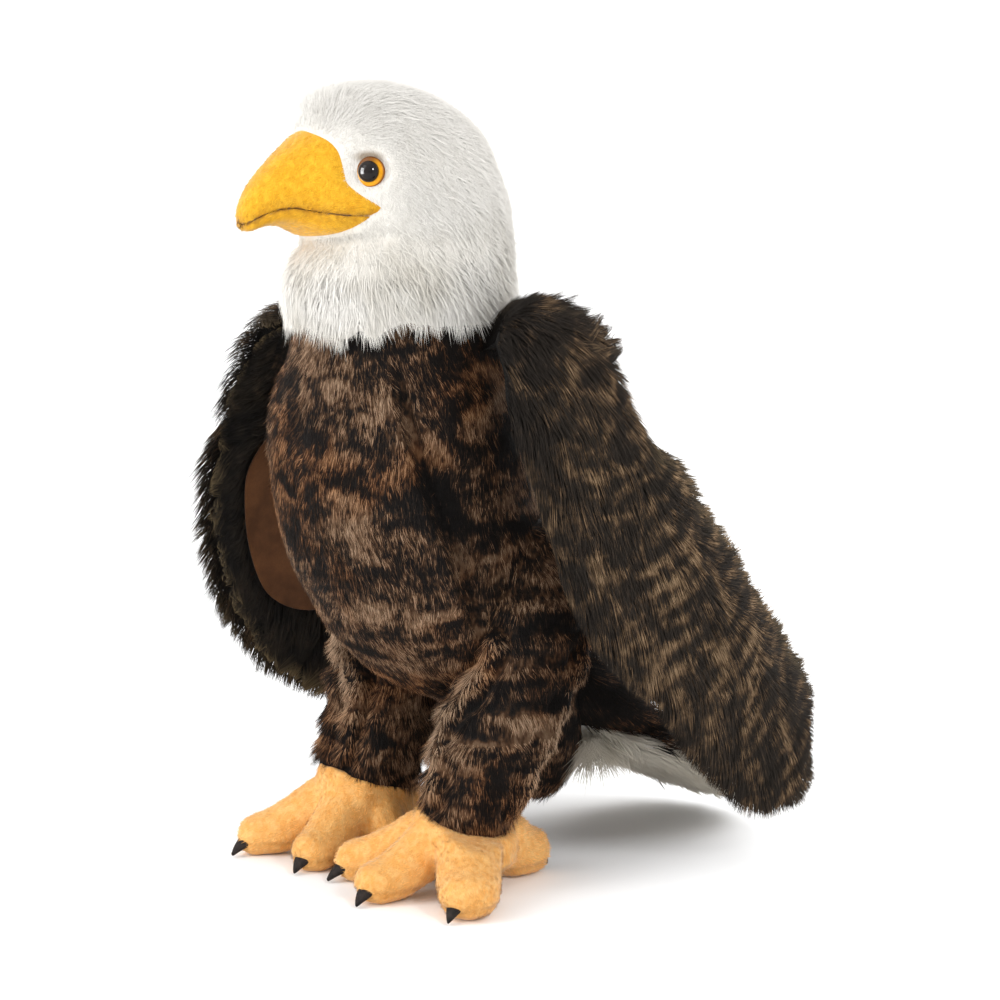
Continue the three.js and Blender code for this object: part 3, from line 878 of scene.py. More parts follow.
class Nodes:
    """A short way to write a node tree."""

    def __init__(self, name, **sockets):
        m = bpy.data.materials.new(name)
        m.use_nodes = True
        self.m, self.t = m, m.node_tree
        self.t.nodes.clear()
        self.out = self.t.nodes.new("ShaderNodeOutputMaterial")
        self.bsdf = self.t.nodes.new("ShaderNodeBsdfPrincipled")
        self.link(self.bsdf.outputs[0], self.out.inputs[0])
        for k, v in sockets.items():
            self.bsdf.inputs[k.replace("_", " ")].default_value = v

    def link(self, a, b):
        self.t.links.new(a, b)
        return b

    def put(self, socket, v):
        if isinstance(v, bpy.types.NodeSocket):
            self.link(v, socket)
        elif v is not None:
            socket.default_value = v

    def attr(self, name):
        n = self.t.nodes.new("ShaderNodeAttribute")
        n.attribute_name = name
        return n

    def math(self, op, a, b=None, c=None, clamp=False):
        n = self.t.nodes.new("ShaderNodeMath")
        n.operation = op
        n.use_clamp = clamp
        for i, v in enumerate((a, b, c)):
            if v is not None:
                self.put(n.inputs[i], v)
        return n.outputs[0]

    def vmath(self, op, a, b=None):
        n = self.t.nodes.new("ShaderNodeVectorMath")
        n.operation = op
        self.put(n.inputs[0], a)
        if b is not None:
            self.put(n.inputs[1], b)
        return n.outputs[0]

    def noise(self, vec, scale, detail=2.0, rough=0.5, distortion=0.0):
        n = self.t.nodes.new("ShaderNodeTexNoise")
        self.put(n.inputs["Vector"], vec)
        n.inputs["Scale"].default_value = scale
        n.inputs["Detail"].default_value = detail
        n.inputs["Roughness"].default_value = rough
        n.inputs["Distortion"].default_value = distortion
        return n.outputs[0]

    def voronoi(self, vec, scale, rnd=1.0):
        n = self.t.nodes.new("ShaderNodeTexVoronoi")
        self.put(n.inputs["Vector"], vec)
        n.inputs["Scale"].default_value = scale
        n.inputs["Randomness"].default_value = rnd
        return n.outputs[0]

    def ramp(self, fac, stops, mode="LINEAR"):
        n = self.t.nodes.new("ShaderNodeValToRGB")
        n.color_ramp.interpolation = mode
        e = n.color_ramp.elements
        while len(e) > 1:
            e.remove(e[-1])
        for i, (pos, col) in enumerate(stops):
            if i == 0:
                e[0].position = pos
                el = e[0]
            else:
                el = e.new(pos)
            el.color = (*col, 1) if len(col) == 3 else col
        self.put(n.inputs[0], fac)
        return n.outputs[0]

    def mix(self, fac, a, b, mode="MIX"):
        n = self.t.nodes.new("ShaderNodeMix")
        n.data_type = "RGBA"
        n.blend_type = mode
        n.clamp_result = False
        self.put(n.inputs["Factor"], fac)
        for s, v in ((n.inputs[6], a), (n.inputs[7], b)):
            if isinstance(v, tuple):
                v = (*v, 1) if len(v) == 3 else v
            self.put(s, v)
        return n.outputs[2]

    def maprange(self, v, a, b, c=0.0, d=1.0):
        n = self.t.nodes.new("ShaderNodeMapRange")
        self.put(n.inputs[0], v)
        for i, x in enumerate((a, b, c, d)):
            n.inputs[i + 1].default_value = x
        return n.outputs[0]

    def bump(self, height, strength, distance):
        n = self.t.nodes.new("ShaderNodeBump")
        n.inputs["Strength"].default_value = strength
        n.inputs["Distance"].default_value = distance
        self.put(n.inputs["Height"], height)
        self.link(n.outputs[0], self.bsdf.inputs["Normal"])
        return n.outputs[0]

    def colour(self, c):
        self.put(self.bsdf.inputs["Base Color"], c)


def scaled(nd, vec, s):
    return nd.vmath("MULTIPLY", vec, s)


def shade_strand(nd, col, lo, hi, spread, skin):
    """Darker at the root and lighter to the tip, partly the pile's own colour and partly painted shade deep in the
    pile; and each strand a little different.
    """
    rnd = nd.attr("rnd").outputs["Fac"]
    t = nd.attr("along").outputs["Fac"]
    g = nd.maprange(t, 0.0, 1.0, lo, hi)
    r = nd.maprange(rnd, 0.0, 1.0, 1 - spread, 1 + spread)
    f = nd.math("MULTIPLY", g, r)
    comb = nd.t.nodes.new("ShaderNodeCombineXYZ")
    for i in range(3):
        nd.link(f, comb.inputs[i])
    return nd.mix(1.0, col, comb.outputs[0], "MULTIPLY")


def white_material(name, skin):
    nd = Nodes(name, Roughness=0.9)
    nd.bsdf.inputs["Specular IOR Level"].default_value = 0.15
    nd.bsdf.inputs["Sheen Weight"].default_value = 0.0 if skin else 0.15
    nd.bsdf.inputs["Sheen Roughness"].default_value = 0.5
    m = nd.attr("mark").outputs["Vector"]
    # soft warm-grey clouds of tone, with painted shade: the clouds are stronger low on the neck, and the nape is
    # painted greyer all over
    n1 = nd.noise(m, 38, 3, 0.6, 0.4)
    n2 = nd.noise(scaled(nd, m, (1, 1, 0.45)), 210, 2, 0.6)
    sep = nd.t.nodes.new("ShaderNodeSeparateXYZ")
    nd.link(m, sep.inputs[0])
    z = sep.outputs["Z"]
    low = nd.maprange(z, 0.285, 0.235, 0.0, 1.0)
    back = nd.maprange(sep.outputs["Y"], -0.06, -0.02, 0.0, 1.0)
    cloud = nd.maprange(n1, 0.42, 0.66, 0.0, 1.0)
    amount = nd.math("MULTIPLY", cloud, nd.math("ADD", nd.math("MULTIPLY", low, 0.55), 0.12))
    amount = nd.math("ADD", amount, nd.math("MULTIPLY", back, 0.16), clamp=True)
    # painted shade: a grey cloud on the throat under the beak
    under_beak_shade = nd.math("MULTIPLY", nd.maprange(z, 0.274, 0.264, 0.0, 1.0), nd.maprange(z, 0.238, 0.252, 0.0, 1.0))
    under_beak_shade = nd.math("MULTIPLY", under_beak_shade, nd.maprange(sep.outputs["Y"], -0.04, -0.07, 0.0, 1.0))
    amount = nd.math("ADD", amount, nd.math("MULTIPLY", under_beak_shade, 0.34), clamp=True)
    fine = nd.maprange(n2, 0.35, 0.7, -0.08, 0.1)
    amount = nd.math("ADD", amount, fine, clamp=True)
    col = nd.mix(amount, (0.83, 0.805, 0.755), (0.56, 0.525, 0.455))
    # a painted grey-brown shade over each eye, where the brow shades the face
    if name.startswith("white_head") or skin:
        for sign in (1, -1):
            c = head_place(np.array([eye_centre(sign) + np.array([0, 0, 5.4])]))[0]
            c = (c + SHIFT) * MM
            dvec = nd.vmath("SUBTRACT", m, tuple(c))
            dvec = nd.vmath("MULTIPLY", dvec, (1.0, 1.0, 2.3))
            ln = nd.t.nodes.new("ShaderNodeVectorMath")
            ln.operation = "LENGTH"
            nd.link(dvec, ln.inputs[0])
            k = nd.maprange(ln.outputs["Value"], 0.0035, 0.0072, 0.75, 0.0)
            col = nd.mix(k, col, (0.25, 0.17, 0.09))
    if skin:
        # painted shade: the skin under the pile is a little greyer than the pile, for the pile's shadow on it
        col = nd.mix(1.0, col, (0.90, 0.895, 0.89), "MULTIPLY")
    if "tail" in name:
        # painted shade: the tail's pile is darkened and warmed for the shade of the wing over it
        col = nd.mix(1.0, col, (0.73, 0.695, 0.625), "MULTIPLY")
    col = shade_strand(nd, col, 0.93, 1.03, 0.04, skin)
    nd.colour(col)
    if skin:
        s = nd.noise(scaled(nd, m, (1, 1, 0.3)), 900, 3, 0.7)
        nd.bump(s, 0.7, 0.002)
    return nd.m


DARK, BROWN, RUST, TAN, PALE = (
    (0.0075, 0.0058, 0.0050),
    (0.030, 0.0185, 0.0120),
    (0.100, 0.050, 0.024),
    (0.235, 0.140, 0.082),
    (0.36, 0.245, 0.160),
)


def body_material(name, skin, dark_bias=0.0, gain=1.0):
    """Mottled tan on near-black, closer on the chest and in broader bands down the legs."""
    nd = Nodes(name, Roughness=0.85)
    nd.bsdf.inputs["Specular IOR Level"].default_value = 0.15
    m = nd.attr("mark").outputs["Vector"]
    sep = nd.t.nodes.new("ShaderNodeSeparateXYZ")
    nd.link(m, sep.inputs[0])
    z = sep.outputs["Z"]
    rnd = nd.attr("rnd").outputs["Fac"]
    broad = nd.noise(scaled(nd, m, (0.8, 0.8, 1.4)), 34, 2, 0.5, 0.6)
    a = nd.noise(scaled(nd, m, (0.85, 0.85, 1.15)), 68, 2, 0.55, 0.9)
    b = nd.noise(scaled(nd, m, (1.1, 1.1, 0.9)), 165, 2, 0.6, 0.5)
    band = nd.noise(scaled(nd, m, (0.45, 0.45, 1.7)), 48, 2, 0.5, 0.7)
    base = nd.math("ADD", nd.math("MULTIPLY", broad, 0.42), nd.math("ADD", nd.math("MULTIPLY", a, 0.42), nd.math("MULTIPLY", b, 0.20)))
    legs = nd.math("ADD", nd.math("ADD", nd.math("MULTIPLY", band, 0.46), 0.018), nd.math("ADD", nd.math("MULTIPLY", a, 0.34), nd.math("MULTIPLY", b, 0.20)))
    k = nd.maprange(z, 0.155, 0.115, 0.0, 1.0)
    mixn = nd.t.nodes.new("ShaderNodeMix")
    mixn.data_type = "FLOAT"
    nd.put(mixn.inputs[0], k)
    nd.put(mixn.inputs[2], base)
    nd.put(mixn.inputs[3], legs)
    val = mixn.outputs[0]
    streak = nd.noise(scaled(nd, m, (1, 1, 0.4)), 560, 1, 0.5)
    val = nd.math("ADD", val, nd.math("MULTIPLY", nd.math("SUBTRACT", streak, 0.5), 0.22))
    val = nd.math("ADD", val, nd.math("MULTIPLY", nd.math("SUBTRACT", rnd, 0.5), 0.17))
    val = nd.math("ADD", val, -dark_bias)
    if not skin:
        ls = nd.t.nodes.new("ShaderNodeSeparateXYZ")
        nd.link(nd.attr("lay").outputs["Vector"], ls.inputs[0])
        val = nd.math("ADD", val, nd.math("MULTIPLY", ls.outputs["Y"], 0.15))
    col = nd.ramp(
        val,
        [(0.465, DARK), (0.520, BROWN), (0.560, RUST), (0.610, TAN), (0.715, PALE)],
    )
    # some patches are redder than others
    hue = nd.maprange(nd.noise(m, 24, 2, 0.5, 0.4), 0.44, 0.60, 0.0, 1.0)
    col = nd.mix(hue, col, nd.mix(1.0, col, (1.0, 0.80, 0.62), "MULTIPLY"))
    if skin:
        # painted shade: the skin under the pile is much darker than the pile's markings, for the pile's shadow on it
        nd.colour(nd.mix(1.0, col, (0.42, 0.40, 0.38), "MULTIPLY"))
        s = nd.noise(scaled(nd, m, (1, 1, 0.3)), 800, 3, 0.7)
        nd.bump(s, 0.8, 0.0025)
    else:
        lay = nd.attr("lay").outputs["Vector"]
        sl = nd.t.nodes.new("ShaderNodeSeparateXYZ")
        nd.link(lay, sl.inputs[0])
        # painted shade: the first value of lay darkens strands by the chest seams and in the side panel's hollow, down
        # to a sixth
        g = nd.maprange(sl.outputs["X"], 0.0, 1.0, 0.16, 1.0)
        comb = nd.t.nodes.new("ShaderNodeCombineXYZ")
        for i in range(3):
            nd.link(g, comb.inputs[i])
        col = nd.mix(1.0, col, comb.outputs[0], "MULTIPLY")
        nd.colour(shade_strand(nd, col, 0.50, 1.22 * gain, 0.28, skin))
    return nd.m


FAN = (0.078, -0.052, 0.232)


def wing_material(name, skin):
    """Long dark pile with tan bars lying in arcs across it, and olive tips at the rim."""
    nd = Nodes(name, Roughness=0.78)
    nd.bsdf.inputs["Specular IOR Level"].default_value = 0.11
    m = nd.attr("mark").outputs["Vector"]
    lay = nd.attr("lay")
    sep = nd.t.nodes.new("ShaderNodeSeparateXYZ")
    nd.link(lay.outputs["Vector"], sep.inputs[0])
    chord, span, rim = sep.outputs["X"], sep.outputs["Y"], sep.outputs["Z"]
    rnd = nd.attr("rnd").outputs["Fac"]
    t = nd.attr("along").outputs["Fac"]
    ms = nd.t.nodes.new("ShaderNodeSeparateXYZ")
    nd.link(m, ms.inputs[0])
    away = nd.t.nodes.new("ShaderNodeCombineXYZ")
    nd.link(nd.math("SUBTRACT", nd.math("ABSOLUTE", ms.outputs["X"]), FAN[0]), away.inputs[0])
    nd.link(nd.math("SUBTRACT", ms.outputs["Y"], FAN[1]), away.inputs[1])
    nd.link(nd.math("SUBTRACT", ms.outputs["Z"], FAN[2]), away.inputs[2])
    ln = nd.t.nodes.new("ShaderNodeVectorMath")
    ln.operation = "LENGTH"
    nd.link(away.outputs[0], ln.inputs[0])
    # arcs about the shoulder, about nine millimetres apart, wandering and broken
    wob = nd.noise(m, 32, 2, 0.5, 0.3)
    ph = nd.math("ADD", nd.math("MULTIPLY", ln.outputs["Value"], 2 * math.pi / 0.0092), nd.math("MULTIPLY", wob, 13.0))
    ph = nd.math("ADD", ph, nd.math("MULTIPLY", rnd, 1.7))
    bars = nd.math("SINE", ph)
    blot = nd.noise(m, 70, 3, 0.6, 0.5)
    mask = nd.noise(scaled(nd, m, (1.3, 1.3, 0.8)), 40, 1, 0.5, 0.3)
    amp = nd.maprange(mask, 0.38, 0.58, 0.02, 0.095)
    amp = nd.math("MULTIPLY", amp, nd.maprange(span, 0.20, 0.42, 0.15, 1.0))
    amp = nd.math("MULTIPLY", amp, nd.maprange(chord, -0.55, 0.0, 0.45, 1.0))
    val = nd.math("ADD", nd.math("MULTIPLY", bars, amp), blot)
    streak = nd.noise(m, 380, 1, 0.5)
    val = nd.math("ADD", val, nd.math("MULTIPLY", nd.math("SUBTRACT", streak, 0.5), 0.22))
    val = nd.math("ADD", val, nd.math("MULTIPLY", nd.math("SUBTRACT", rnd, 0.5), 0.20))
    # darker at the shoulder and at the tip
    val = nd.math("ADD", val, nd.maprange(span, 0.14, 0.36, -0.085, 0.0))
    front = nd.math("MULTIPLY", nd.maprange(chord, -1.0, -0.35, 1.0, 0.0), nd.maprange(span, 0.50, 0.66, 1.0, 0.0))
    val = nd.math("ADD", val, nd.math("MULTIPLY", front, -0.10))
    front_dark = nd.math("MULTIPLY", front, 0.80)
    val = nd.math("ADD", val, nd.maprange(span, 0.62, 0.86, 0.0, -0.085))
    col = nd.ramp(
        val,
        [(0.42, (0.0195, 0.0152, 0.0120)), (0.51, (0.036, 0.0255, 0.0175)), (0.575, (0.074, 0.046, 0.026)), (0.65, (0.158, 0.100, 0.055)), (0.78, (0.25, 0.168, 0.098))],
    )
    # shaded where the panel meets the body
    col = nd.mix(front_dark, col, (0.0085, 0.0068, 0.0055))
    # tips by the rim fade to olive brown
    tipk = nd.math("MULTIPLY", nd.maprange(t, 0.40, 0.95, 0.0, 0.85), nd.math("POWER", rim, 1.6))
    col = nd.mix(tipk, col, (0.165, 0.120, 0.066))
    if skin:
        # painted shade: the skin under the pile is much darker than the pile, for the pile's shadow on it
        nd.colour(nd.mix(1.0, col, (0.38, 0.38, 0.38), "MULTIPLY"))
        s = nd.noise(m, 700, 3, 0.7)
        nd.bump(s, 0.8, 0.0025)
    else:
        nd.colour(shade_strand(nd, col, 0.30, 1.35, 0.32, skin))
    return nd.m


def under_material(name):
    """The black pile of the wing's under side, browner at the tips."""
    nd = Nodes(name, Roughness=0.8)
    nd.bsdf.inputs["Specular IOR Level"].default_value = 0.12
    m = nd.attr("mark").outputs["Vector"]
    t = nd.attr("along").outputs["Fac"]
    lay = nd.attr("lay")
    sep = nd.t.nodes.new("ShaderNodeSeparateXYZ")
    nd.link(lay.outputs["Vector"], sep.inputs[0])
    n = nd.noise(m, 60, 3, 0.6, 0.3)
    base = nd.ramp(n, [(0.40, (0.0120, 0.0108, 0.0098)), (0.62, (0.026, 0.021, 0.016)), (0.75, (0.05, 0.037, 0.024))])
    tipk = nd.math("MULTIPLY", nd.maprange(t, 0.35, 0.95, 0.0, 0.95), nd.maprange(sep.outputs["Z"], 0.62, 1.0, 0.0, 1.0))
    col = nd.mix(tipk, base, (0.200, 0.148, 0.078))
    nd.colour(shade_strand(nd, col, 0.7, 1.15, 0.3, False))
    return nd.m


def velour_material(name, col_a, col_b, deep, seam=None):
    """Short brushed pile: soft clouds of tone, a fine nap, and a dark line where a seam runs."""
    nd = Nodes(name, Roughness=0.85)
    nd.bsdf.inputs["Specular IOR Level"].default_value = 0.2
    nd.bsdf.inputs["Sheen Weight"].default_value = 0.3
    nd.bsdf.inputs["Sheen Roughness"].default_value = 0.35
    tc = nd.t.nodes.new("ShaderNodeTexCoord")
    m = tc.outputs["Object"]
    cloud = nd.noise(m, 75, 3, 0.6, 0.4)
    nap = nd.noise(scaled(nd, m, (1, 1, 0.6)), 1250, 3, 0.72)
    patch = nd.noise(scaled(nd, m, (1, 1, 0.7)), 360, 3, 0.65, 0.3)
    col = nd.ramp(cloud, [(0.36, col_b), (0.62, col_a)])
    col = nd.mix(nd.maprange(nap, 0.36, 0.64, 0.45, 0.0), col, deep)
    col = nd.mix(nd.maprange(patch, 0.42, 0.64, 0.0, 0.75), col, tuple(min(1.0, x * y) for x, y in zip(col_a, (1.12, 1.18, 1.45))))
    sm = nd.attr("seam").outputs["Fac"]
    sn = nd.noise(m, 420, 2, 0.6)
    k = nd.math("MULTIPLY", nd.math("POWER", sm, 0.60), nd.maprange(sn, 0.32, 0.60, 0.25, 1.0), clamp=True)
    col = nd.mix(k, col, seam)
    # each fibre a little different, and painted shade makes the cloth between them deeper
    f = nd.maprange(nd.attr("rnd").outputs["Fac"], 0.0, 1.0, 0.84, 1.16)
    f = nd.math("MULTIPLY", f, nd.maprange(nd.attr("along").outputs["Fac"], 0.0, 1.0, 0.88, 1.14))
    comb = nd.t.nodes.new("ShaderNodeCombineXYZ")
    for i in range(3):
        nd.link(f, comb.inputs[i])
    nd.colour(nd.mix(1.0, col, comb.outputs[0], "MULTIPLY"))
    h = nd.math("ADD", nd.math("MULTIPLY", nap, 1.0), nd.math("MULTIPLY", patch, 0.9))
    nd.bump(h, 0.45, 0.0008)
    return nd.m


def suede_material(name):
    nd = Nodes(name, Roughness=0.88)
    nd.bsdf.inputs["Specular IOR Level"].default_value = 0.2
    nd.bsdf.inputs["Sheen Weight"].default_value = 0.2
    nd.bsdf.inputs["Sheen Roughness"].default_value = 0.4
    tc = nd.t.nodes.new("ShaderNodeTexCoord")
    m = tc.outputs["Object"]
    c = nd.noise(m, 55, 3, 0.6, 0.3)
    f = nd.noise(m, 1500, 2, 0.6)
    col = nd.ramp(c, [(0.35, (0.075, 0.030, 0.011)), (0.65, (0.135, 0.055, 0.020))])
    col = nd.mix(nd.maprange(f, 0.35, 0.7, 0.25, 0.0), col, (0.045, 0.018, 0.008))
    nd.colour(col)
    nd.bump(nd.math("ADD", f, nd.math("MULTIPLY", c, 0.6)), 0.35, 0.0006)
    return nd.m


def claw_material(name):
    nd = Nodes(name, Roughness=0.7)
    nd.bsdf.inputs["Specular IOR Level"].default_value = 0.2
    tc = nd.t.nodes.new("ShaderNodeTexCoord")
    m = tc.outputs["Object"]
    c = nd.noise(m, 420, 3, 0.6)
    col = nd.ramp(c, [(0.35, (0.007, 0.005, 0.0045)), (0.70, (0.026, 0.018, 0.015))])
    nd.colour(col)
    nd.bump(nd.voronoi(m, 1500), 0.25, 0.0004)
    return nd.m


def eye_materials():
    a = Nodes("eye_amber", Roughness=0.22)
    a.bsdf.inputs["Specular IOR Level"].default_value = 0.2
    r = a.attr("rim").outputs["Fac"]
    tc = a.t.nodes.new("ShaderNodeTexCoord")
    n = a.noise(tc.outputs["Object"], 900, 2, 0.6)
    col = a.ramp(r, [(0.0, (0.40, 0.13, 0.002)), (0.72, (0.74, 0.34, 0.007)), (0.90, (0.70, 0.30, 0.006)), (1.0, (0.16, 0.05, 0.003))])
    col = a.mix(a.maprange(n, 0.35, 0.7, 0.25, 0.0), col, (0.35, 0.11, 0.004))
    # painted shadow: browner under the brow, where the brow's shadow falls on the ring
    col = a.mix(a.math("MULTIPLY", a.attr("brow_shadow").outputs["Fac"], 0.93), col, (0.12, 0.035, 0.006))
    a.colour(col)
    b = Nodes("pupil_black", Roughness=0.03)
    b.bsdf.inputs["Specular IOR Level"].default_value = 0.19
    tc = b.t.nodes.new("ShaderNodeTexCoord")
    n = b.noise(tc.outputs["Object"], 300, 2, 0.5)
    b.colour(b.ramp(n, [(0.3, (0.0035, 0.003, 0.003)), (0.7, (0.008, 0.006, 0.005))]))
    return a.m, b.m


MAT = {
    "white_skin": white_material("white_skin", True),
    "white_head_pile": white_material("white_head_pile", False),
    "white_tail_pile": white_material("white_tail_pile", False),
    "body_skin": body_material("body_skin", True),
    "body_pile": body_material("body_pile", False),
    "rump_skin": body_material("rump_skin", True, 0.10),
    "rump_pile": body_material("rump_pile", False, 0.085, 0.66),
    "wing_skin": wing_material("wing_skin", True),
    "wing_pile": wing_material("wing_pile", False),
    "wing_under_pile": under_material("wing_under_pile"),
    "beak": velour_material("beak_velour", (0.84, 0.435, 0.021), (0.81, 0.385, 0.012), (0.62, 0.270, 0.006), (0.30, 0.125, 0.011)),
    "foot": velour_material("foot_velour", (0.94, 0.490, 0.145), (0.93, 0.440, 0.112), (0.80, 0.33, 0.070), (0.60, 0.255, 0.052)),
    "suede": suede_material("lining_suede"),
    "claw": claw_material("claw_felt"),
}
MAT["amber"], MAT["pupil"] = eye_materials()


def finish_piece(ob, mat, nodes=()):
    ob.data.materials.clear()
    ob.data.materials.append(MAT[mat])
    if nodes:
        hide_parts(*nodes)
    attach(ob, "root")
    return ob


# ------------------------------------------------------------------ skins

SEAM_LEFT = np.array([[36.1, -44.1, 219], [47.9, -43.1, 185], [52.9, -36.8, 161.5], [54.6, -28.1, 142], [53.1, -18, 121]])


def seam_side(p):
    """Signed distance across a chest seam (outside is positive) and how strongly the seam shows there."""
    z = p[:, 2]
    order = np.argsort(SEAM_LEFT[:, 2])
    x0 = np.interp(z, SEAM_LEFT[order, 2], SEAM_LEFT[order, 0])
    y0 = np.interp(z, SEAM_LEFT[order, 2], SEAM_LEFT[order, 1])
    d = np.abs(p[:, 0]) - x0 + 0.55 * (p[:, 1] - y0)
    show = smooth(z, 104, 118) * (1 - smooth(z, 200, 224)) * (1 - smooth(p[:, 1], 0, 14))
    return d, show


def seam_groove(co):
    """The two sewn seams that run down the sides of the chest, the belly panel standing proud of the side panel."""
    d, show = seam_side(co)
    deep = 5.2 * np.exp(-((d / 2.6) ** 2)) + 2.4 * smooth(d, 0, 3) * (1 - smooth(d, 10, 26))
    proud = 1.2 * np.exp(-(((d + 6.0) / 4.0) ** 2))
    c = np.array([0, -5.0, 0]) + co * np.array([0, 0, 1])
    return co - unit(co - c) * ((deep - proud) * show)[:, None]


def body_shape(co):
    co = seam_groove(co)
    n = unit((co - np.array([0, 0, 0])) * np.array([1, 1, 0]) - np.array([0, 0, 0]))
    lump = (noise(co, 26, 3) - 0.5) * 2.4
    return co + n * lump[:, None]


TRUNK_AT0 = spine_at(TRUNK, -3.6)


def trunk_at(u, v):
    return body_shape(TRUNK_AT0(u, v))


def spine_centre(table):
    return lambda v, p: along(table, v)[:, :3]


LEG_SEAMS = [
    [[51.6, -16.6, 116.7], [52.9, -7.7, 105.8], [50.7, -9, 98.8], [47.8, -10.2, 94.1], [39.4, -12.9, 84.7], [29.2, -13.8, 73.9], [28.8, -16.7, 63.9], [30.8, -20.5, 52.4], [31.3, -22.6, 44.6]],
    [[62.2, 40.5, 102.6], [65.2, 30.3, 87.7], [63.9, 23.3, 71.6], [62.3, 16.4, 59.5], [60.7, 10.8, 49.8], [56.6, 7.4, 35.2]],
]


def line_distance(p, line):
    best = np.full(len(p), 1e9)
    line = np.asarray(line, float)
    for a, b in zip(line[:-1], line[1:]):
        ab = b - a
        s = np.clip(((p - a) @ ab) / (ab @ ab), 0, 1)
        best = np.minimum(best, np.linalg.norm(p - (a + s[:, None] * ab), axis=1))
    return best


def leg_seam(side, p):
    """Distance to a leg's nearest sewn seam; the right leg is a mirrored, slightly shifted left one."""
    q = p if side == "left" else (p - np.array([-5.0, 7.0, 3.0])) * np.array([-1, 1, 1])
    return np.minimum(line_distance(q, LEG_SEAMS[0]), line_distance(q, LEG_SEAMS[1]))


def leg_at(side):
    base = spine_at(LEGS[side], -3.6)

    def at(u, v):
        p = base(u, v)
        c = along(LEGS[side], v)[:, :3]
        n = unit(p - c)
        d = np.maximum(leg_seam(side, p) - 2.6, 0)
        ridge = 3.2 * np.exp(-((d / 1.9) ** 2)) * (0.75 + 0.5 * noise(p, 6, 18)) - 2.2 * np.exp(-(((d - 5.2) / 2.2) ** 2))
        folds = 1.3 * np.sin(p[:, 2] * 0.42 + 3.0 * noise(p, 20, 8)) * smooth(p[:, 2], 20, 60)
        return p + n * ((noise(p, 22, 7) - 0.5) * 2.4 + ridge + folds * noise(p, 30, 9))[:, None]

    return at


skin_head = finish_piece(
    surface("skin_head", head_at(), 160, 150), "white_skin", ("head", "neck")
)
skin_trunk = finish_piece(
    surface("skin_trunk", trunk_at, 240, 190), "body_skin", ("trunk",)
)
legs = {}
for side in ("left", "right"):
    legs[side] = finish_piece(
        surface(f"skin_leg_{side}", leg_at(side), 120, 100),
        "body_skin",
        (f"leg_{side}",),
    )
RUMP_AT = spine_at(RUMP, -3.6)
TAIL_AT = spine_at(TAIL, -4.5)
skin_rump = finish_piece(surface("skin_rump", RUMP_AT, 64, 40), "rump_skin", ("rump",))
skin_tail = finish_piece(surface("skin_tail", TAIL_AT, 64, 48), "white_skin", ("tail",))


def wing_lay(side):
    def extra(co, uv):
        c = np.cos(2 * math.pi * uv[:, 0])
        return {"lay": np.stack([c, 0.02 + 0.945 * uv[:, 1], np.zeros(len(co))], 1)}

    return extra


cores, linings = {}, {}
for side in ("left", "right"):
    cores[side] = finish_piece(
        surface(f"skin_wing_{side}", wing_core(side), 72, 90, extra=wing_lay(side)),
        "wing_skin",
        (f"wing_{side}",),
    )
    linings[side] = finish_piece(
        surface(f"lining_{side}", lining_at(side), 96, 96),
        "suede",
        (f"wing_lining_{side}",),
    )


# ------------------------------------------------------------------ beak

def beak_piece(name, upper, node):
    co, uv, tris = grid(beak_half(upper), 96, 72)
    tris = outward(co, tris)
    loc = head_local(co)
    f = -loc[:, 1]
    mouth = table_at(MOUTH, f)
    dz = np.abs(loc[:, 2] - mouth + (noise(co, 2.6, 33) - 0.5) * 0.9)
    seam = np.exp(-((dz / (0.9 if upper else 1.2)) ** 2)) * smooth(f, 18, 30) * (0.55 + 0.45 * smooth(f, 34, 52))
    low_edge = 0.0
    if not upper:
        seam = np.maximum(seam, 0.35 * np.exp(-((dz / 3.0) ** 2)))
    else:
        seam = np.maximum(seam, 0.30 * np.exp(-((dz / 3.2) ** 2)))
    # soft dents and puckers along the seam
    n = unit(loc * np.array([1, 0, 0]) + np.array([0, 0, 1e-6]))
    pucker = (noise(co, 3.2, 31) - 0.5) * 0.5 * np.exp(-((dz / 4) ** 2)) + (noise(co, 9, 32) - 0.5) * 0.5
    co = co + unit(np.stack([loc[:, 0], np.zeros(len(co)), (loc[:, 2] - mouth) * 0.4], 1)) * pucker[:, None]
    ob = new_mesh(name, co, tris, uv * 0.98 + 0.01, {"seam": seam})
    sub = ob.modifiers.new("soft", "SMOOTH")
    sub.factor, sub.iterations = 0.5, 2
    return finish_piece(ob, "beak", (node,))


beak_piece("beak_upper_skin", True, "beak_upper")
beak_piece("beak_lower_skin", False, "beak_lower")

# ------------------------------------------------------------------ feet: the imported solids, made soft


def soft_copy(name, node, voxel, smooth_n, factor=0.5):
    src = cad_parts[node]
    me = src.data.copy()
    me.name = name
    me.materials.clear()
    ob = bpy.data.objects.new(name, me)
    bpy.context.scene.collection.objects.link(ob)
    rm = ob.modifiers.new("voxel", "REMESH")
    rm.mode, rm.voxel_size, rm.adaptivity = "VOXEL", voxel, 0
    rm.use_smooth_shade = True
    sm = ob.modifiers.new("soft", "SMOOTH")
    sm.factor, sm.iterations = factor, smooth_n
    dg = bpy.context.evaluated_depsgraph_get()
    out = bpy.data.meshes.new_from_object(ob.evaluated_get(dg))
    ob.modifiers.clear()
    ob.data = out
    out.name = name
    made[name] = ob
    return ob


def points_of(ob):
    co = np.zeros(len(ob.data.vertices) * 3, np.float32)
    ob.data.vertices.foreach_get("co", co)
    return co.reshape(-1, 3).astype(float) / MM - SHIFT


def set_points(ob, p):
    ob.data.vertices.foreach_set("co", ((p + SHIFT) * MM).astype(np.float32).ravel())
    ob.data.update()


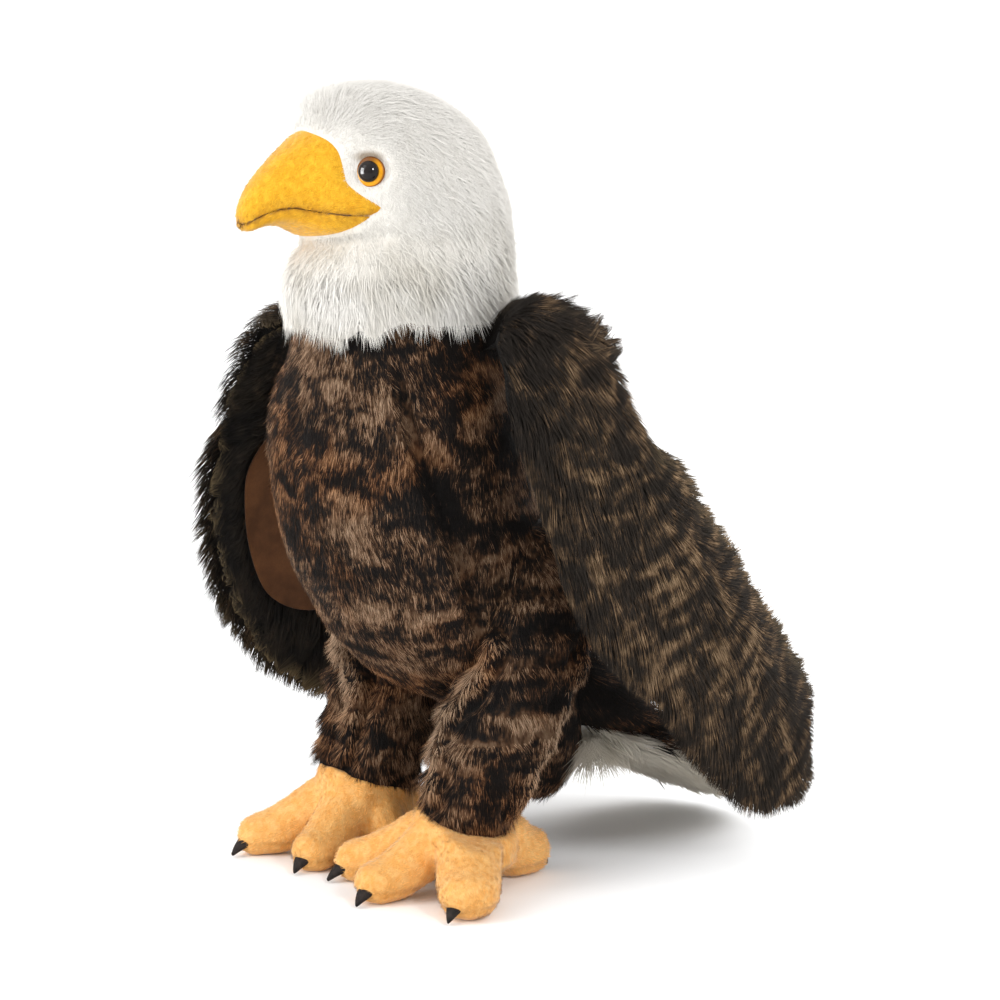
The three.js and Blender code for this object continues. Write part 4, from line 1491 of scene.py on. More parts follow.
feet = {}
for side in ("left", "right"):
    ob = soft_copy(f"foot_{side}_skin", f"foot_{side}", 0.0011, 14)
    q = points_of(ob)
    nn = np.zeros(len(q) * 3, np.float32)
    ob.data.vertices.foreach_get("normal", nn)
    nn = nn.reshape(-1, 3)
    swell = (noise(q, 11, 41) - 0.5) * 1.0 + (noise(q, 4.5, 42) - 0.5) * 0.35 + 0.35
    # the stitched seam low along the sides of the toes
    height = 6.0 + 2.2 * (noise(q, 24, 43) - 0.5)
    line = np.exp(-(((q[:, 2] - height) / 0.9) ** 2)) * (np.abs(nn[:, 2]) < 0.92)
    swell = swell - 0.38 * line + 0.15 * np.exp(-(((np.abs(q[:, 2] - height) - 2.4) / 1.2) ** 2))
    q = q + nn * swell[:, None]
    q[:, 2] = np.maximum(q[:, 2], 0.05)
    set_points(ob, q)
    a = ob.data.attributes.new("seam", "FLOAT", "POINT")
    a.data.foreach_set("value", (line * 0.42).astype(np.float32))
    feet[side] = finish_piece(ob, "foot", (f"foot_{side}",))

# ------------------------------------------------------------------ claws and eyes


def heading(deg):
    return np.array([math.sin(math.radians(deg)), -math.cos(math.radians(deg)), 0.0])


def claw(side, toe_name):
    deg, length, w, h, point = FEET[side]["toes"][toe_name]
    at = np.array([*FEET[side]["at"], 0.0])
    end, d = heading(deg), heading(point)
    start = w * 0.4
    L, r = CLAW_LENGTH, CLAW_RADIUS
    top = h - SOLE_TRIM - 0.6
    rows = []
    for k, z, s in (
        (-3.2, top + 0.3, 0.1),
        (-2.4, top + 0.2, r * 1.30),
        (-0.5, top, r * 1.42),
        (L * 0.25, top * 0.90, r * 1.30),
        (L * 0.50, top * 0.69, r * 1.02),
        (L * 0.72, top * 0.46, r * 0.66),
        (L * 0.90, top * 0.23, r * 0.26),
        (L * 0.97, 1.2, 0.08),
    ):
        c = at + end * length + d * (start + k)
        rows.append([c[0], c[1], z, s, s * 0.45 + 0.5, s * 0.45 + 0.5])
    side_v = (-d[1], d[0], 0.0)
    ob = surface(f"claw_{side}_{toe_name}_skin", spine_at(rows, 0.0, side_v), 28, 30)
    return finish_piece(ob, "claw", (f"claw_{side}_{toe_name}",))


for side in FEET:
    for toe_name in FEET[side]["toes"]:
        claw(side, toe_name)


def eye_piece(name, profile, sign, mat, node):
    """A turned shape on the eye's axis. profile is (radius, height) from the back to the front."""
    axis = eye_axis(sign)
    c = eye_centre(sign)
    s = unit(np.cross(UP, axis))
    t = np.cross(axis, s)
    nu = 64
    a = 2 * math.pi * np.arange(nu) / nu
    co, rim = [], []
    rmax = max(r for r, _ in profile)
    for r, hgt in profile:
        co.append(c + axis * hgt + (np.cos(a)[:, None] * s + np.sin(a)[:, None] * t) * max(r, 1e-3))
        rim.append(np.full(nu, r / rmax))
    co, rim = np.concatenate(co), np.concatenate(rim)
    rows = len(profile)
    i = np.arange(nu)
    f = []
    for j in range(rows - 1):
        p0, p1 = j * nu + i, j * nu + (i + 1) % nu
        f.append(np.stack([p0, p1, p1 + nu], 1))
        f.append(np.stack([p0, p1 + nu, p0 + nu], 1))
    k = len(co)
    co = np.concatenate([co, [c + axis * profile[0][1], c + axis * profile[-1][1]]])
    rim = np.concatenate([rim, [0, 0]])
    f.append(np.stack([np.full(nu, k), (i + 1) % nu, i], 1))
    last = (rows - 1) * nu
    f.append(np.stack([np.full(nu, k + 1), last + i, last + (i + 1) % nu], 1))
    tris = np.concatenate(f)
    # painted shadow: how far the brow's shadow reaches over the ring, stronger at the top and toward the beak
    brow_shadow = smooth((co[:, 2] - c[2]) * 0.8 - (co[:, 1] - c[1]) * 0.62, -0.5, 3.8)
    co = head_place(co)
    tris = outward(co - co.mean(0), tris)
    uv = np.stack([np.tile(a / (2 * math.pi), rows).tolist() + [0, 0], rim], 1)
    ob = new_mesh(name, co, tris, np.array(uv, float) * 0.98 + 0.01, {"rim": rim, "brow_shadow": brow_shadow})
    return finish_piece(ob, mat, (node,))


for side, sign in (("left", 1), ("right", -1)):
    R = EYE_RADIUS
    disc = [(0.3, -3.8), (R * 0.7, -3.8), (R * 0.96, -3.4), (R, -2.6), (R, -1.0)]
    for k in range(1, 10):
        q = k / 10
        disc.append((R * (1 - q) + 0.0, -1.0 + 1.35 * math.sin(q * math.pi / 2) * 0.9))
    eye_piece(f"eye_{side}_iris", disc, sign, "amber", f"eye_{side}")
    r = PUPIL_RADIUS
    dome = [(0.3, -0.6), (r, -0.6), (r * 1.0, 0.25)]
    for k in range(1, 14):
        q = k / 14 * math.pi / 2
        dome.append((r * math.cos(q), 0.25 + r * 0.74 * math.sin(q)))
    eye_piece(f"pupil_{side}_dome", dome, sign, "pupil", f"pupil_{side}")

# ------------------------------------------------------------------ pile

FULL = 1.0


def many(n):
    return int(n * FULL)


T = {}
for name, ob in (
    ("head", skin_head),
    ("trunk", skin_trunk),
    ("leg_left", legs["left"]),
    ("leg_right", legs["right"]),
    ("rump", skin_rump),
    ("tail", skin_tail),
    ("core_left", cores["left"]),
    ("core_right", cores["right"]),
    ("foot_left", feet["left"]),
    ("foot_right", feet["right"]),
):
    T[name] = tree_of(ob)
for side in ("left", "right"):
    for part in ("upper", "lower"):
        T[f"beak_{part}"] = tree_of(made[f"beak_{part}_skin"])


PACKED = {}
for side in ("left", "right"):
    PACKED[side] = [tree_of(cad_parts[f"wing_{side}"]), tree_of(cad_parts[f"wing_lining_{side}"])]


def keep(mask, *arrays):
    return [a[mask] for a in arrays]


# head and neck
def collar(p):
    """Height of the white pile's hem at a point of the neck."""
    return hem_height(np.degrees(np.arctan2(p[:, 0], -(p[:, 1] + 12.4)))) + 2.0


def head_coat():
    at = head_at()
    coat = Coat(at, lambda v, p: np.stack([np.zeros(len(v)), np.full(len(v), -12.4), np.minimum(along(HEAD, v)[:, 0], 298)], 1), 101)
    blocked = [T["beak_upper"], T["beak_lower"], T["trunk"], T["core_left"], T["core_right"]]

    def flow_at(p, n, loc):
        z, f = loc[:, 2], -loc[:, 1]
        face = loc - np.array([0, -46, 292.0])
        world_face = head_place(face) - HEAD_AXIS
        back_down = np.tile(np.array([[0, 0.80, -0.50]]), (len(p), 1))
        wf = smooth(f, 4, 34) * smooth(z, 258, 274)
        flow = unit(world_face) * wf[:, None] + unit(back_down) * (1 - wf)[:, None]
        down = smooth(-z, -288, -246)
        flow = flow * (1 - 0.58 * down)[:, None] + DOWN * (0.85 * down)[:, None]
        flow = flow + noise_vec(p, 24, 51) * 0.24 + noise_vec(p, 8, 52) * (0.15 + 0.15 * down)[:, None] + noise_vec(p, 14, 55) * (0.42 * down)[:, None]
        d = tangential(flow, n)
        near_eye = np.full(len(p), 1e9)
        for sign in (1, -1):
            away = loc - eye_centre(sign)
            dist = np.linalg.norm(away, axis=1)
            near_eye = np.minimum(near_eye, dist)
            k = 1 - smooth(dist, 7, 12)
            aw = head_place(away) - HEAD_AXIS
            d = tangential(d * (1 - 0.85 * k)[:, None] + unit(aw) * (0.85 * k)[:, None], n)
        return d, wf, near_eye

    # the close pile all over
    p, n, u, v = coat.roots(many(79000), lambda p, n, u, v: np.ones(len(p)), v_range=(0.0, 0.93))
    loc = head_local(p)
    gone = inside(p, blocked, 0.0003)
    for sign in (1, -1):
        gone |= np.linalg.norm(loc - eye_centre(sign), axis=1) < 6.9
    gone |= p[:, 2] < collar(p) + 7.0
    p, n, u, v, loc = keep(~gone, p, n, u, v, loc)
    rng = np.random.default_rng(7)
    d, wf, near_eye = flow_at(p, n, loc)
    neck = smooth(-loc[:, 2], -276, -240)
    gap = beak_gap(loc[:, 0], -loc[:, 1], loc[:, 2])
    length = 8.0 + 3.2 * neck + rng.normal(0, 0.8, len(p)) + 2.2 * (noise(p, 6, 53) - 0.5)
    length *= 0.66 + 0.34 * smooth(near_eye, 7, 18)
    length *= 0.62 + 0.38 * smooth(gap, 0, 16)
    lift = 0.16 + 0.10 * neck + rng.normal(0, 0.03, len(p))
    # the ledge of the neck under the jaw shades as one with the fur below it
    ledge = smooth(loc[:, 2], 238, 250) * (1 - smooth(loc[:, 2], 266, 276))
    n = unit(n * np.stack([np.ones(len(p)), np.ones(len(p)), 1 - 0.85 * ledge], 1))
    lift = lift + 0.34 * smooth(loc[:, 2], 302, 314) * (1 - smooth(loc[:, 2], 318, 327)) * smooth(-loc[:, 1], 12, 28)
    width = 0.21 + 0.07 * neck + rng.random(len(p)) * 0.09
    hemk = 1 - smooth(p[:, 2] - collar(p), 7, 13)
    length = length * (1 + hemk * 0.9 * (noise(p * np.array([1, 1, 0.3]), 5, 54) - 0.5))
    zero = np.zeros((len(p), 3))
    strands(
        "pile_head", p, n, d, length, width, lift, np.stack([u, v], 1), zero, rng,
        seg=1, tuft=7, pull=0.12 + 0.12 * neck + 0.22 * hemk, jitter=0.26, soft=0.95,
        material=MAT["white_head_pile"],
    )
    # longer curling locks that loosen the outline of the neck, the nape and the hem
    p, n, u, v = coat.roots(many(6500), lambda p, n, u, v: 0.25 + smooth(-head_local(p)[:, 2], -280, -240), v_range=(0.0, 0.93))
    loc = head_local(p)
    gone = inside(p, blocked, 0.0003)
    gap = beak_gap(loc[:, 0], -loc[:, 1], loc[:, 2])
    gone |= (gap < 6) | (p[:, 2] < collar(p) + 7.5)
    for sign in (1, -1):
        gone |= np.linalg.norm(loc - eye_centre(sign), axis=1) < 13
    p, n, u, v, loc = keep(~gone, p, n, u, v, loc)
    d, wf, near_eye = flow_at(p, n, loc)
    neck = smooth(-loc[:, 2], -276, -240)
    length = 9.5 + 4.0 * neck + rng.normal(0, 1.2, len(p))
    lift = 0.20 + 0.06 * neck + rng.normal(0, 0.10, len(p)) + 0.16 * smooth(loc[:, 1], 6, 30)
    strands(
        "pile_head_long", p, n, d, length, 0.24 + rng.random(len(p)) * 0.10, lift, np.stack([u, v], 1),
        np.zeros((len(p), 3)), rng, seg=2, tuft=4, pull=0.22, jitter=0.30, soft=0.90, bend=0.7, droop=0.05,
        material=MAT["white_head_pile"],
    )


def rim_below(side, p):
    x, y, z, fx, fy = RIM[side]
    return p[:, 2] + fx * (p[:, 0] - x) + fy * (p[:, 1] - y) < z + 2.0


def seam_distance(p):
    d, show = seam_side(p)
    return np.where(show > 0.15, np.abs(d + 0.6), 60.0)


def short_pile(name, coat, count, rng, blocked, cull, v_range, material, length=6.6, lift=0.16, tan=None, flow_of=None, weight=None, side=None):
    p, n, u, v = coat.roots(many(count), weight or (lambda p, n, u, v: np.ones(len(p))), v_range=v_range)
    gone = inside(p, blocked, 0.0002) | cull(p)
    p, n, u, v = keep(~gone, p, n, u, v)
    flow = flow_of(p) if flow_of else np.tile(DOWN, (len(p), 1))
    flow = flow + noise_vec(p, 30, 61) * 0.35 + noise_vec(p, 9, 62) * 0.22
    d = tangential(flow, n)
    seam = seam_distance(p)
    ridge = np.zeros(len(p)) if side is None else np.exp(-((np.maximum(leg_seam(side, p) - 2.0, 0) / 2.4) ** 2))
    L = length + rng.normal(0, 0.9, len(p)) + 2.2 * (noise(p, 5, 63) - 0.5)
    L = L * (0.62 + 0.38 * smooth(seam, 0, 6)) * (1 - 0.25 * ridge)
    # painted shade: strands by the chest seams, and in the hollow of the side panel just outside them, are darkened in
    # colour
    across, show = seam_side(p)
    side_panel_shade = np.exp(-(((across - 4.0) / 4.5) ** 2)) * show * smooth(p[:, 2], 118, 140) * (1 - smooth(p[:, 2], 178, 200))
    painted_light_level = smooth(seam, 0.2, 3.2) * (1 - 0.65 * side_panel_shade) if side is None else np.ones(len(p))
    a = lift + rng.normal(0, 0.07, len(p)) + 0.22 * (noise(p, 11, 64) - 0.5)
    if side is not None:
        # fuller low down where the legs face each other, and along the far leg's outer edge
        toward = n @ np.array([-0.67, -0.74, 0.0])
        full = smooth(toward if side == "left" else np.abs(toward), 0.45, 0.9) * (1 - smooth(p[:, 2], 92, 118))
        a = a + 0.36 * full
        L = L + 2.4 * full
    w = 0.35 + rng.random(len(p)) * 0.20
    return strands(
        name, p, n, d, L, w, a, np.stack([u, v], 1), np.stack([painted_light_level, ridge, v], 1), rng,
        seg=1, tuft=6, pull=0.30, jitter=0.22, soft=0.55, material=material,
    )


def trunk_coat():
    coat = Coat(trunk_at, spine_centre(TRUNK), 202)
    blocked = [T[k] for k in ("head", "leg_left", "leg_right", "rump", "core_left", "core_right", "tail")]

    def weight(p, n, u, v):
        hidden = (np.abs(p[:, 0]) > 42) & (p[:, 1] > -10) & (p[:, 2] > 120)
        return np.where(hidden, 0.5, 1.0)

    short_pile(
        "pile_trunk", coat, 66000, np.random.default_rng(8), blocked, lambda p: p[:, 2] > 230,
        (0.04, 1.0), MAT["body_pile"], weight=weight,
        flow_of=lambda p: np.tile(DOWN, (len(p), 1)) + np.stack([0.2 * np.sign(p[:, 0]), np.zeros(len(p)), np.zeros(len(p))], 1),
    )


def leg_coat(side):
    coat = Coat(leg_at(side), spine_centre(LEGS[side]), 303 if side == "left" else 304)
    blocked = [T[k] for k in ("trunk", "rump", "core_left", "core_right")]
    short_pile(
        f"pile_leg_{side}", coat, 27500, np.random.default_rng(9 if side == "left" else 10), blocked,
        lambda p: rim_below(side, p), (0.02, 0.99), MAT["body_pile"], length=6.2, side=side,
    )


def rump_coat():
    coat = Coat(RUMP_AT, spine_centre(RUMP), 404)
    blocked = [T[k] for k in ("trunk", "leg_left", "leg_right", "core_left", "core_right")]
    short_pile(
        "pile_rump", coat, 9500, np.random.default_rng(11), blocked, lambda p: p[:, 2] < 0,
        (0.03, 1.0), MAT["rump_pile"], length=12.5, lift=0.30,
        flow_of=lambda p: np.tile(np.array([0, 0.70, -0.70]), (len(p), 1)),
    )


def rump_locks():
    """Loose locks at the top of the rump and over the root of the tail."""
    rng = np.random.default_rng(19)
    for name, lo, hi, way, length in (
        ("hip", (-30, 72, 80), (30, 88, 89), (0.0, 0.42, 0.90), 11.0),
        ("end", (-36, 106, 42), (36, 129, 52), (0.0, 0.85, -0.30), 12.0),
    ):
        m = many(700 if name == "hip" else 1100)
        p = np.array(lo) + rng.random((m, 3)) * (np.array(hi) - np.array(lo))
        n = unit(np.stack([p[:, 0] / 30, np.full(m, 0.3), np.full(m, 0.8)], 1))
        d = unit(np.array(way) + np.stack([p[:, 0] / 70, np.zeros(m), np.zeros(m)], 1))
        strands(
            f"pile_rump_{name}", p, n, d, length + rng.normal(0, 1.5, m), 0.5 + rng.random(m) * 0.3, 0.15 + rng.normal(0, 0.1, m),
            np.stack([p[:, 0] / 80 + 0.5, rng.random(m) * 0.2 + (0.1 if name == "hip" else 0.7)], 1), np.tile([1.0, 0.0, 0.5], (m, 1)), rng,
            seg=2, tuft=10, pull=0.4, jitter=0.25, soft=0.55, material=MAT["rump_pile"],
        )


def tail_coat():
    coat = Coat(TAIL_AT, spine_centre(TAIL), 505)
    p, n, u, v = coat.roots(many(7500), lambda p, n, u, v: np.ones(len(p)), v_range=(0.04, 0.99))
    gone = inside(p, [T["trunk"], T["rump"]], 0.0)
    p, n, u, v = keep(~gone, p, n, u, v)
    rng = np.random.default_rng(12)
    flow = np.tile(np.array([0, 0.87, -0.42]), (len(p), 1)) + np.stack(
        [p[:, 0] * 0.012, np.zeros(len(p)), np.zeros(len(p))], 1
    )
    flow = flow + noise_vec(p, 18, 91) * 0.25
    d = tangential(flow, n)
    end = smooth(p[:, 1], 120, 165)
    length = 15.5 + rng.normal(0, 2, len(p)) - 6 * end
    lift = 0.18 + rng.normal(0, 0.07, len(p))
    width = 0.55 + rng.random(len(p)) * 0.3
    strands(
        "pile_tail", p, n, d, length, width, lift, np.stack([u, v], 1), np.zeros((len(p), 3)), rng,
        seg=2, tuft=12, pull=0.45, soft=0.6, material=MAT["white_tail_pile"],
    )
    # a few long wisps fan out where the tail leaves the rump
    m = many(420)
    for side_, x0 in ((1, 17.0), (-1, -17.0)):
        w = rng.integers(0, 16, m)
        fan = np.linspace(-0.85, 1.05, 16)[w] + rng.normal(0, 0.06, m)
        p = np.stack([x0 + side_ * rng.normal(7.5, 1.5, m), 77 + rng.normal(0, 2.5, m), 49.5 + rng.normal(0, 0.8, m)], 1)
        d = unit(DOWN * 0.80 + np.array([0.67 * side_, 0.74, 0]) * fan[:, None] + rng.normal(0, 0.06, (m, 3)))
        n = tangential(np.tile(np.array([0.74 * side_, -0.67, 0.1]), (m, 1)), d)
        strands(
            f"pile_tail_wisps_{'left' if side_ > 0 else 'right'}", p, n, d, 17.5 + rng.normal(0, 3.0, m) + 3 * noise(d * 40, 9, 7), 0.27, 0.06 + rng.normal(0, 0.06, m),
            np.stack([np.full(m, 0.25), 0.3 + 0.2 * rng.random(m)], 1), np.zeros((m, 3)), rng, seg=2, tuft=1, soft=0.5, sink=0.0,
            jitter=0.05, material=MAT["white_tail_pile"],
        )
    # long loose hairs that splay from under the rump
    p, n, u, v = coat.roots(many(500), lambda p, n, u, v: ((p[:, 1] < 108) & (n[:, 2] < 0.35)).astype(float) * (0.3 + (p[:, 1] < 96)), v_range=(0.1, 0.5))
    gone = inside(p, [T["trunk"], T["rump"]], 0.0)
    p, n, u, v = keep(~gone, p, n, u, v)
    flow = np.tile(np.array([0.15, 0.25, -0.9]), (len(p), 1)) + rng.normal(0, 0.45, (len(p), 3))
    d = tangential(flow, n)
    strands(
        "pile_tail_loose", p, n, d, 15 + rng.normal(0, 3, len(p)), 0.42, 0.75 + rng.normal(0, 0.2, len(p)), np.stack([u, v], 1),
        np.zeros((len(p), 3)), rng, seg=3, tuft=5, pull=0.4, soft=0.6, bend=0.5, droop=0.35,
        material=MAT["white_tail_pile"],
    )


def edge_flow(side, v, chord, t):
    """How the pile stands out of a wing's front edge: forward and a little up by the shoulder, down by the tip."""
    if side == "left":
        low = smooth(v, 0.36, 0.56)[:, None]
        return (-chord * 0.20 + DOWN * 0.55 + t * 0.75) * (1 - low) + (-chord * 0.85 + t * 0.45) * low
    drop = -0.30 + 1.05 * smooth(v, 0.18, 0.58) + 2.4 * smooth(v, 0.60, 0.74)
    return -chord + DOWN * drop[:, None] + t * 0.15


def wing_coat(side):
    at = wing_core(side)

    def centre_of(v, p):
        centre, chord, out, t, front, rear, thick = wing_frame(side, 0.02 + 0.945 * v)
        return centre + out * 3.0

    coat = Coat(at, centre_of, 606 if side == "left" else 607)

    def weight(p, n, u, v):
        upper = np.sin(2 * math.pi * u) > -0.02
        edge = np.abs(np.cos(2 * math.pi * u)) > 0.9
        return np.where(upper, 1.0 + 0.8 * edge + 0.6 * (v < 0.2), 0.0)

    p, n, u, v = coat.roots(many(29000 if side == "left" else 20000), weight, v_range=(0.02, 0.995))
    centre, chord, out, t, front, rear, thick = wing_frame(side, 0.02 + 0.945 * v)
    gone = inside(p, [T["head"], T["trunk"]], 0.0)
    p, n, u, v, centre, chord, out, t, front, rear = keep(~gone, p, n, u, v, centre, chord, out, t, front, rear)
    rng = np.random.default_rng(13 if side == "left" else 14)
    c = dot(p - centre, chord)[:, 0]
    share = np.where(c < 0, c / np.maximum(front, 1), c / np.maximum(rear, 1))  # -1 front .. 1 rear
    # hangs down, fans to the rear edge, and stands out of the front edge of the far wing
    flow = np.tile(DOWN, (len(p), 1)) * 1.0 + t * 0.55
    rearward = smooth(share, -0.1, 0.85)
    flow = flow * (1 - 0.75 * rearward)[:, None] + (chord * 0.75 + t * 0.45) * (1.05 * rearward)[:, None]
    fwd = smooth(-share, 0.25, 0.7)
    flow = flow * (1 - fwd)[:, None] + edge_flow(side, v, chord, t) * fwd[:, None] * (1.3 if side == "right" else 1.0)
    tipk = smooth(v, 0.84, 1.0)
    flow = flow * (1 - 0.5 * tipk)[:, None] + (t * 0.5 + chord * 0.6) * tipk[:, None]
    shoulder = 1 - smooth(v, 0.12, 0.30)
    flow = flow + (out * 0.6 + chord * 0.8 + UP * 0.15) * (shoulder * 0.8)[:, None]
    flow = flow + noise_vec(p, 26, 111) * 0.28 + noise_vec(p, 9, 112) * 0.20
    # at the edges the surface's own normal points out, so the pile follows the panel's face there
    n_use = unit(n + out * 1.3)
    d = tangential(flow, n_use)
    rim = np.clip(smooth(share if side == "left" else np.abs(share), 0.50, 0.85) + 0.6 * tipk, 0, 1)
    length = 18.0 + rng.normal(0, 1.8, len(p)) + 6.0 * (noise(p, 8, 113) - 0.5)
    length = length - 3.5 * smooth(share, 0.3, 0.9) * (1 - np.exp(-(((v - 0.30) / 0.09) ** 2))) + 6.0 * fwd * (1.0 if side == "right" else 0.2 + 0.8 * smooth(v, 0.54, 0.66)) - 2.0 * shoulder
    length = length * (1 - 0.25 * tipk)
    lift = 0.22 + rng.normal(0, 0.07, len(p)) + 0.12 * shoulder + 0.22 * (noise(p, 13, 114) - 0.5)
    width = 0.34 + rng.random(len(p)) * 0.26
    lay = np.stack([share, 0.02 + 0.945 * v, rim], 1)
    over = 1.3 + 3.2 * noise(p, 5, 115)
    if side == "left":
        over = over + 8.0 * smooth(v, 0.54, 0.66) * smooth(-share, 0.2, 0.7) * (1 - 0.85 * smooth(v, 0.82, 0.94))
        over = over + 5.0 * np.exp(-(((v - 0.30) / 0.09) ** 2)) * smooth(share, 0.2, 0.7)
    else:
        over = over + 6.5 - 2.2 * smooth(v, 0.26, 0.42) + 3.5 * smooth(v, 0.48, 0.56) - 5.0 * smooth(v, 0.76, 0.88)
    face = n_use
    if side == "right":
        # the pile past the front edge is seen from its under side
        k = smooth(-share, 0.62, 0.88)[:, None]
        face = unit(n_use * (1 - 2 * k) - chord * 0.4)
    return strands(
        f"pile_wing_{side}", p, n_use, d, length, width, lift, np.stack([u, v], 1), lay, rng,
        seg=2, tuft=12 if side == "left" else 20, pull=0.34 + (0.30 if side == "left" else 0.42) * rim, jitter=0.17, soft=0.5, bend=0.7, droop=0.05,
        material=MAT["wing_pile"], hull=PACKED[side], over=over, face=face,
    )


def shoulder_tufts(side):
    """Long dark locks that stand up from the top of the shoulder."""
    rng = np.random.default_rng(17 if side == "left" else 18)
    v = 0.03 + 0.20 * rng.random(many(1500))
    v2 = 0.02 + 0.945 * v
    centre, chord, out, t, front, rear, thick = wing_frame(side, v2)
    u = 0.06 + 0.36 * rng.random(len(v))
    p = wing_core(side)(u, v)
    n = unit(out + UP * 0.1)
    gone = inside(p, [T["head"], T["trunk"]], 0.0)
    p, n, u, v, v2, chord, out, t = keep(~gone, p, n, u, v, v2, chord, out, t)
    flow = UP * 0.9 + chord * 0.7 + out * 0.5 + t * 0.45 + noise_vec(p, 7, 131) * 0.55
    d = tangential(flow, n)
    length = 15.5 + rng.normal(0, 2.5, len(p)) + 7 * (noise(p, 6, 132) - 0.5)
    lay = np.stack([np.full(len(p), 0.0), v2, np.full(len(p), 0.25)], 1)
    strands(
        f"pile_shoulder_{side}", p, n, d, length, 0.34 + rng.random(len(p)) * 0.22, 0.42 + rng.normal(0, 0.1, len(p)),
        np.stack([u, v], 1), lay, rng, seg=2, tuft=26, pull=0.80, jitter=0.18, soft=0.5, bend=0.4,
        material=MAT["wing_pile"], hull=PACKED[side], over=3.0 + 3.0 * noise(p, 6, 133),
    )


def wing_fringe(side):
    """The dark pile of the under side, standing past the lining's edge."""
    rng = np.random.default_rng(15 if side == "left" else 16)
    n_ = many(11500 if side == "right" else 3800)
    v = 0.10 + 0.87 * rng.random(n_)
    front_edge = rng.random(n_) < (0.85 if side == "right" else 0.6)
    if side == "left":
        v = np.where(front_edge, 0.80 + 0.12 * rng.random(n_), np.maximum(v, 0.3))
    centre, chord, out, t, front, rear, thick = wing_frame(side, v)
    share = np.minimum(1, front / 34)
    f = np.maximum(3, front - FRINGE * share - 1 - lining_back(v))
    depth = rng.random(n_) ** 0.9
    reach = np.clip(4 + lining_back(v) + 3, 2, np.maximum(front - 5 - (f - 2), 2))
    c = np.where(front_edge, -(f - 2 + depth * reach), (rear - 12) + depth * 4)
    c = np.where(v > 0.94, c * 0.6, c)
    p = centre + chord * c[:, None] + out * (camber(c, front, rear) - 0.2)[:, None]
    gone = inside(p, [T["head"], T["trunk"]], 0.0)
    p, v, centre, chord, out, t, c, front_edge, depth = keep(~gone, p, v, centre, chord, out, t, c, front_edge, depth)
    n = -out
    flow = np.where(front_edge[:, None], edge_flow(side, v, chord, t), chord * 0.9 + t * 0.45 + DOWN * 0.4)
    flow = flow + noise_vec(p, 20, 121) * 0.40 + noise_vec(p, 7, 122) * 0.40
    d = tangential(flow, n)
    far = 19.0 if side == "right" else 12.0
    length = np.where(front_edge, far, 11.0) + rng.normal(0, 2.6, len(p))
    length = length + 10.0 * (noise(p, 6, 123) - 0.5)
    lift = 0.14 + rng.normal(0, 0.09, len(p))
    width = (0.64 if side == "right" else 0.52) + rng.random(len(p)) * 0.40
    lay = np.stack([c * 0, v, np.where(front_edge, depth, 0.7)], 1)
    over = 1.0 + 3.4 * noise(p, 6, 124)
    if side == "right":
        low = smooth(v, 0.47, 0.56) * (1 - smooth(v, 0.72, 0.84))
        over = over + 6.6 - 2.0 * smooth(v, 0.26, 0.42) + 5.0 * low - 4.6 * smooth(v, 0.74, 0.90)
        length = length + 5.0 * low - 4.0 * smooth(v, 0.84, 0.92)
    else:
        over = over + 2.2 * smooth(v, 0.82, 0.90)
    return strands(
        f"pile_under_{side}", p, n, d, length, width, lift, np.stack([np.clip(c / 120 + 0.5, 0, 1), v], 1), lay, rng,
        seg=2, tuft=34, pull=0.84, jitter=0.22, soft=0.5, material=MAT["wing_under_pile"],
        hull=PACKED[side], over=over,
    )


def mesh_roots(ob, n, rng):
    """Evenly strewn points on a mesh, with normals and its seam mark."""
    me = ob.data
    me.calc_loop_triangles()
    f = np.zeros(len(me.loop_triangles) * 3, np.int32)
    me.loop_triangles.foreach_get("vertices", f)
    f = f.reshape(-1, 3)
    q = points_of(ob)
    mark = np.zeros(len(q), np.float32)
    me.attributes["seam"].data.foreach_get("value", mark)
    a, b, c = q[f[:, 0]], q[f[:, 1]], q[f[:, 2]]
    cr = np.cross(b - a, c - a)
    w = np.cumsum(np.linalg.norm(cr, axis=1))
    t = np.searchsorted(w / w[-1], (np.arange(n) + rng.random(n)) / n)
    t = np.minimum(t, len(f) - 1)
    r1, r2 = np.sqrt(rng.random(n)), rng.random(n)
    k = np.stack([1 - r1, r1 * (1 - r2), r1 * r2], 1)
    p = a[t] * k[:, :1] + b[t] * k[:, 1:2] + c[t] * k[:, 2:]
    return p, unit(cr[t]), (mark[f[t]] * k).sum(1)


def nap(name, ob, n, seed, flow_of, length, mat, slot, cull):
    rng = np.random.default_rng(seed)
    p, nn, seam = mesh_roots(ob, many(n), rng)
    gone = cull(p)
    p, nn, seam = keep(~gone, p, nn, seam)
    d = tangential(flow_of(p) + noise_vec(p, 8, seed) * 0.35, nn)
    ang = np.arctan2(p[:, 1] - p[:, 1].mean(), p[:, 0] - p[:, 0].mean()) / (2 * math.pi) + 0.5
    zz = (p[:, 2] - p[:, 2].min()) / max(np.ptp(p[:, 2]), 1)
    strands(
        name, p, nn, d, length + rng.normal(0, 0.35, len(p)), 0.24 + rng.random(len(p)) * 0.12, 0.40 + rng.normal(0, 0.16, len(p)),
        np.stack([ang, zz], 1), np.zeros((len(p), 3)), rng, seg=1, tuft=7, pull=0.50, jitter=0.30, soft=0.70, sink=0.3,
        material=MAT[mat], extra={"seam": seam},
    )


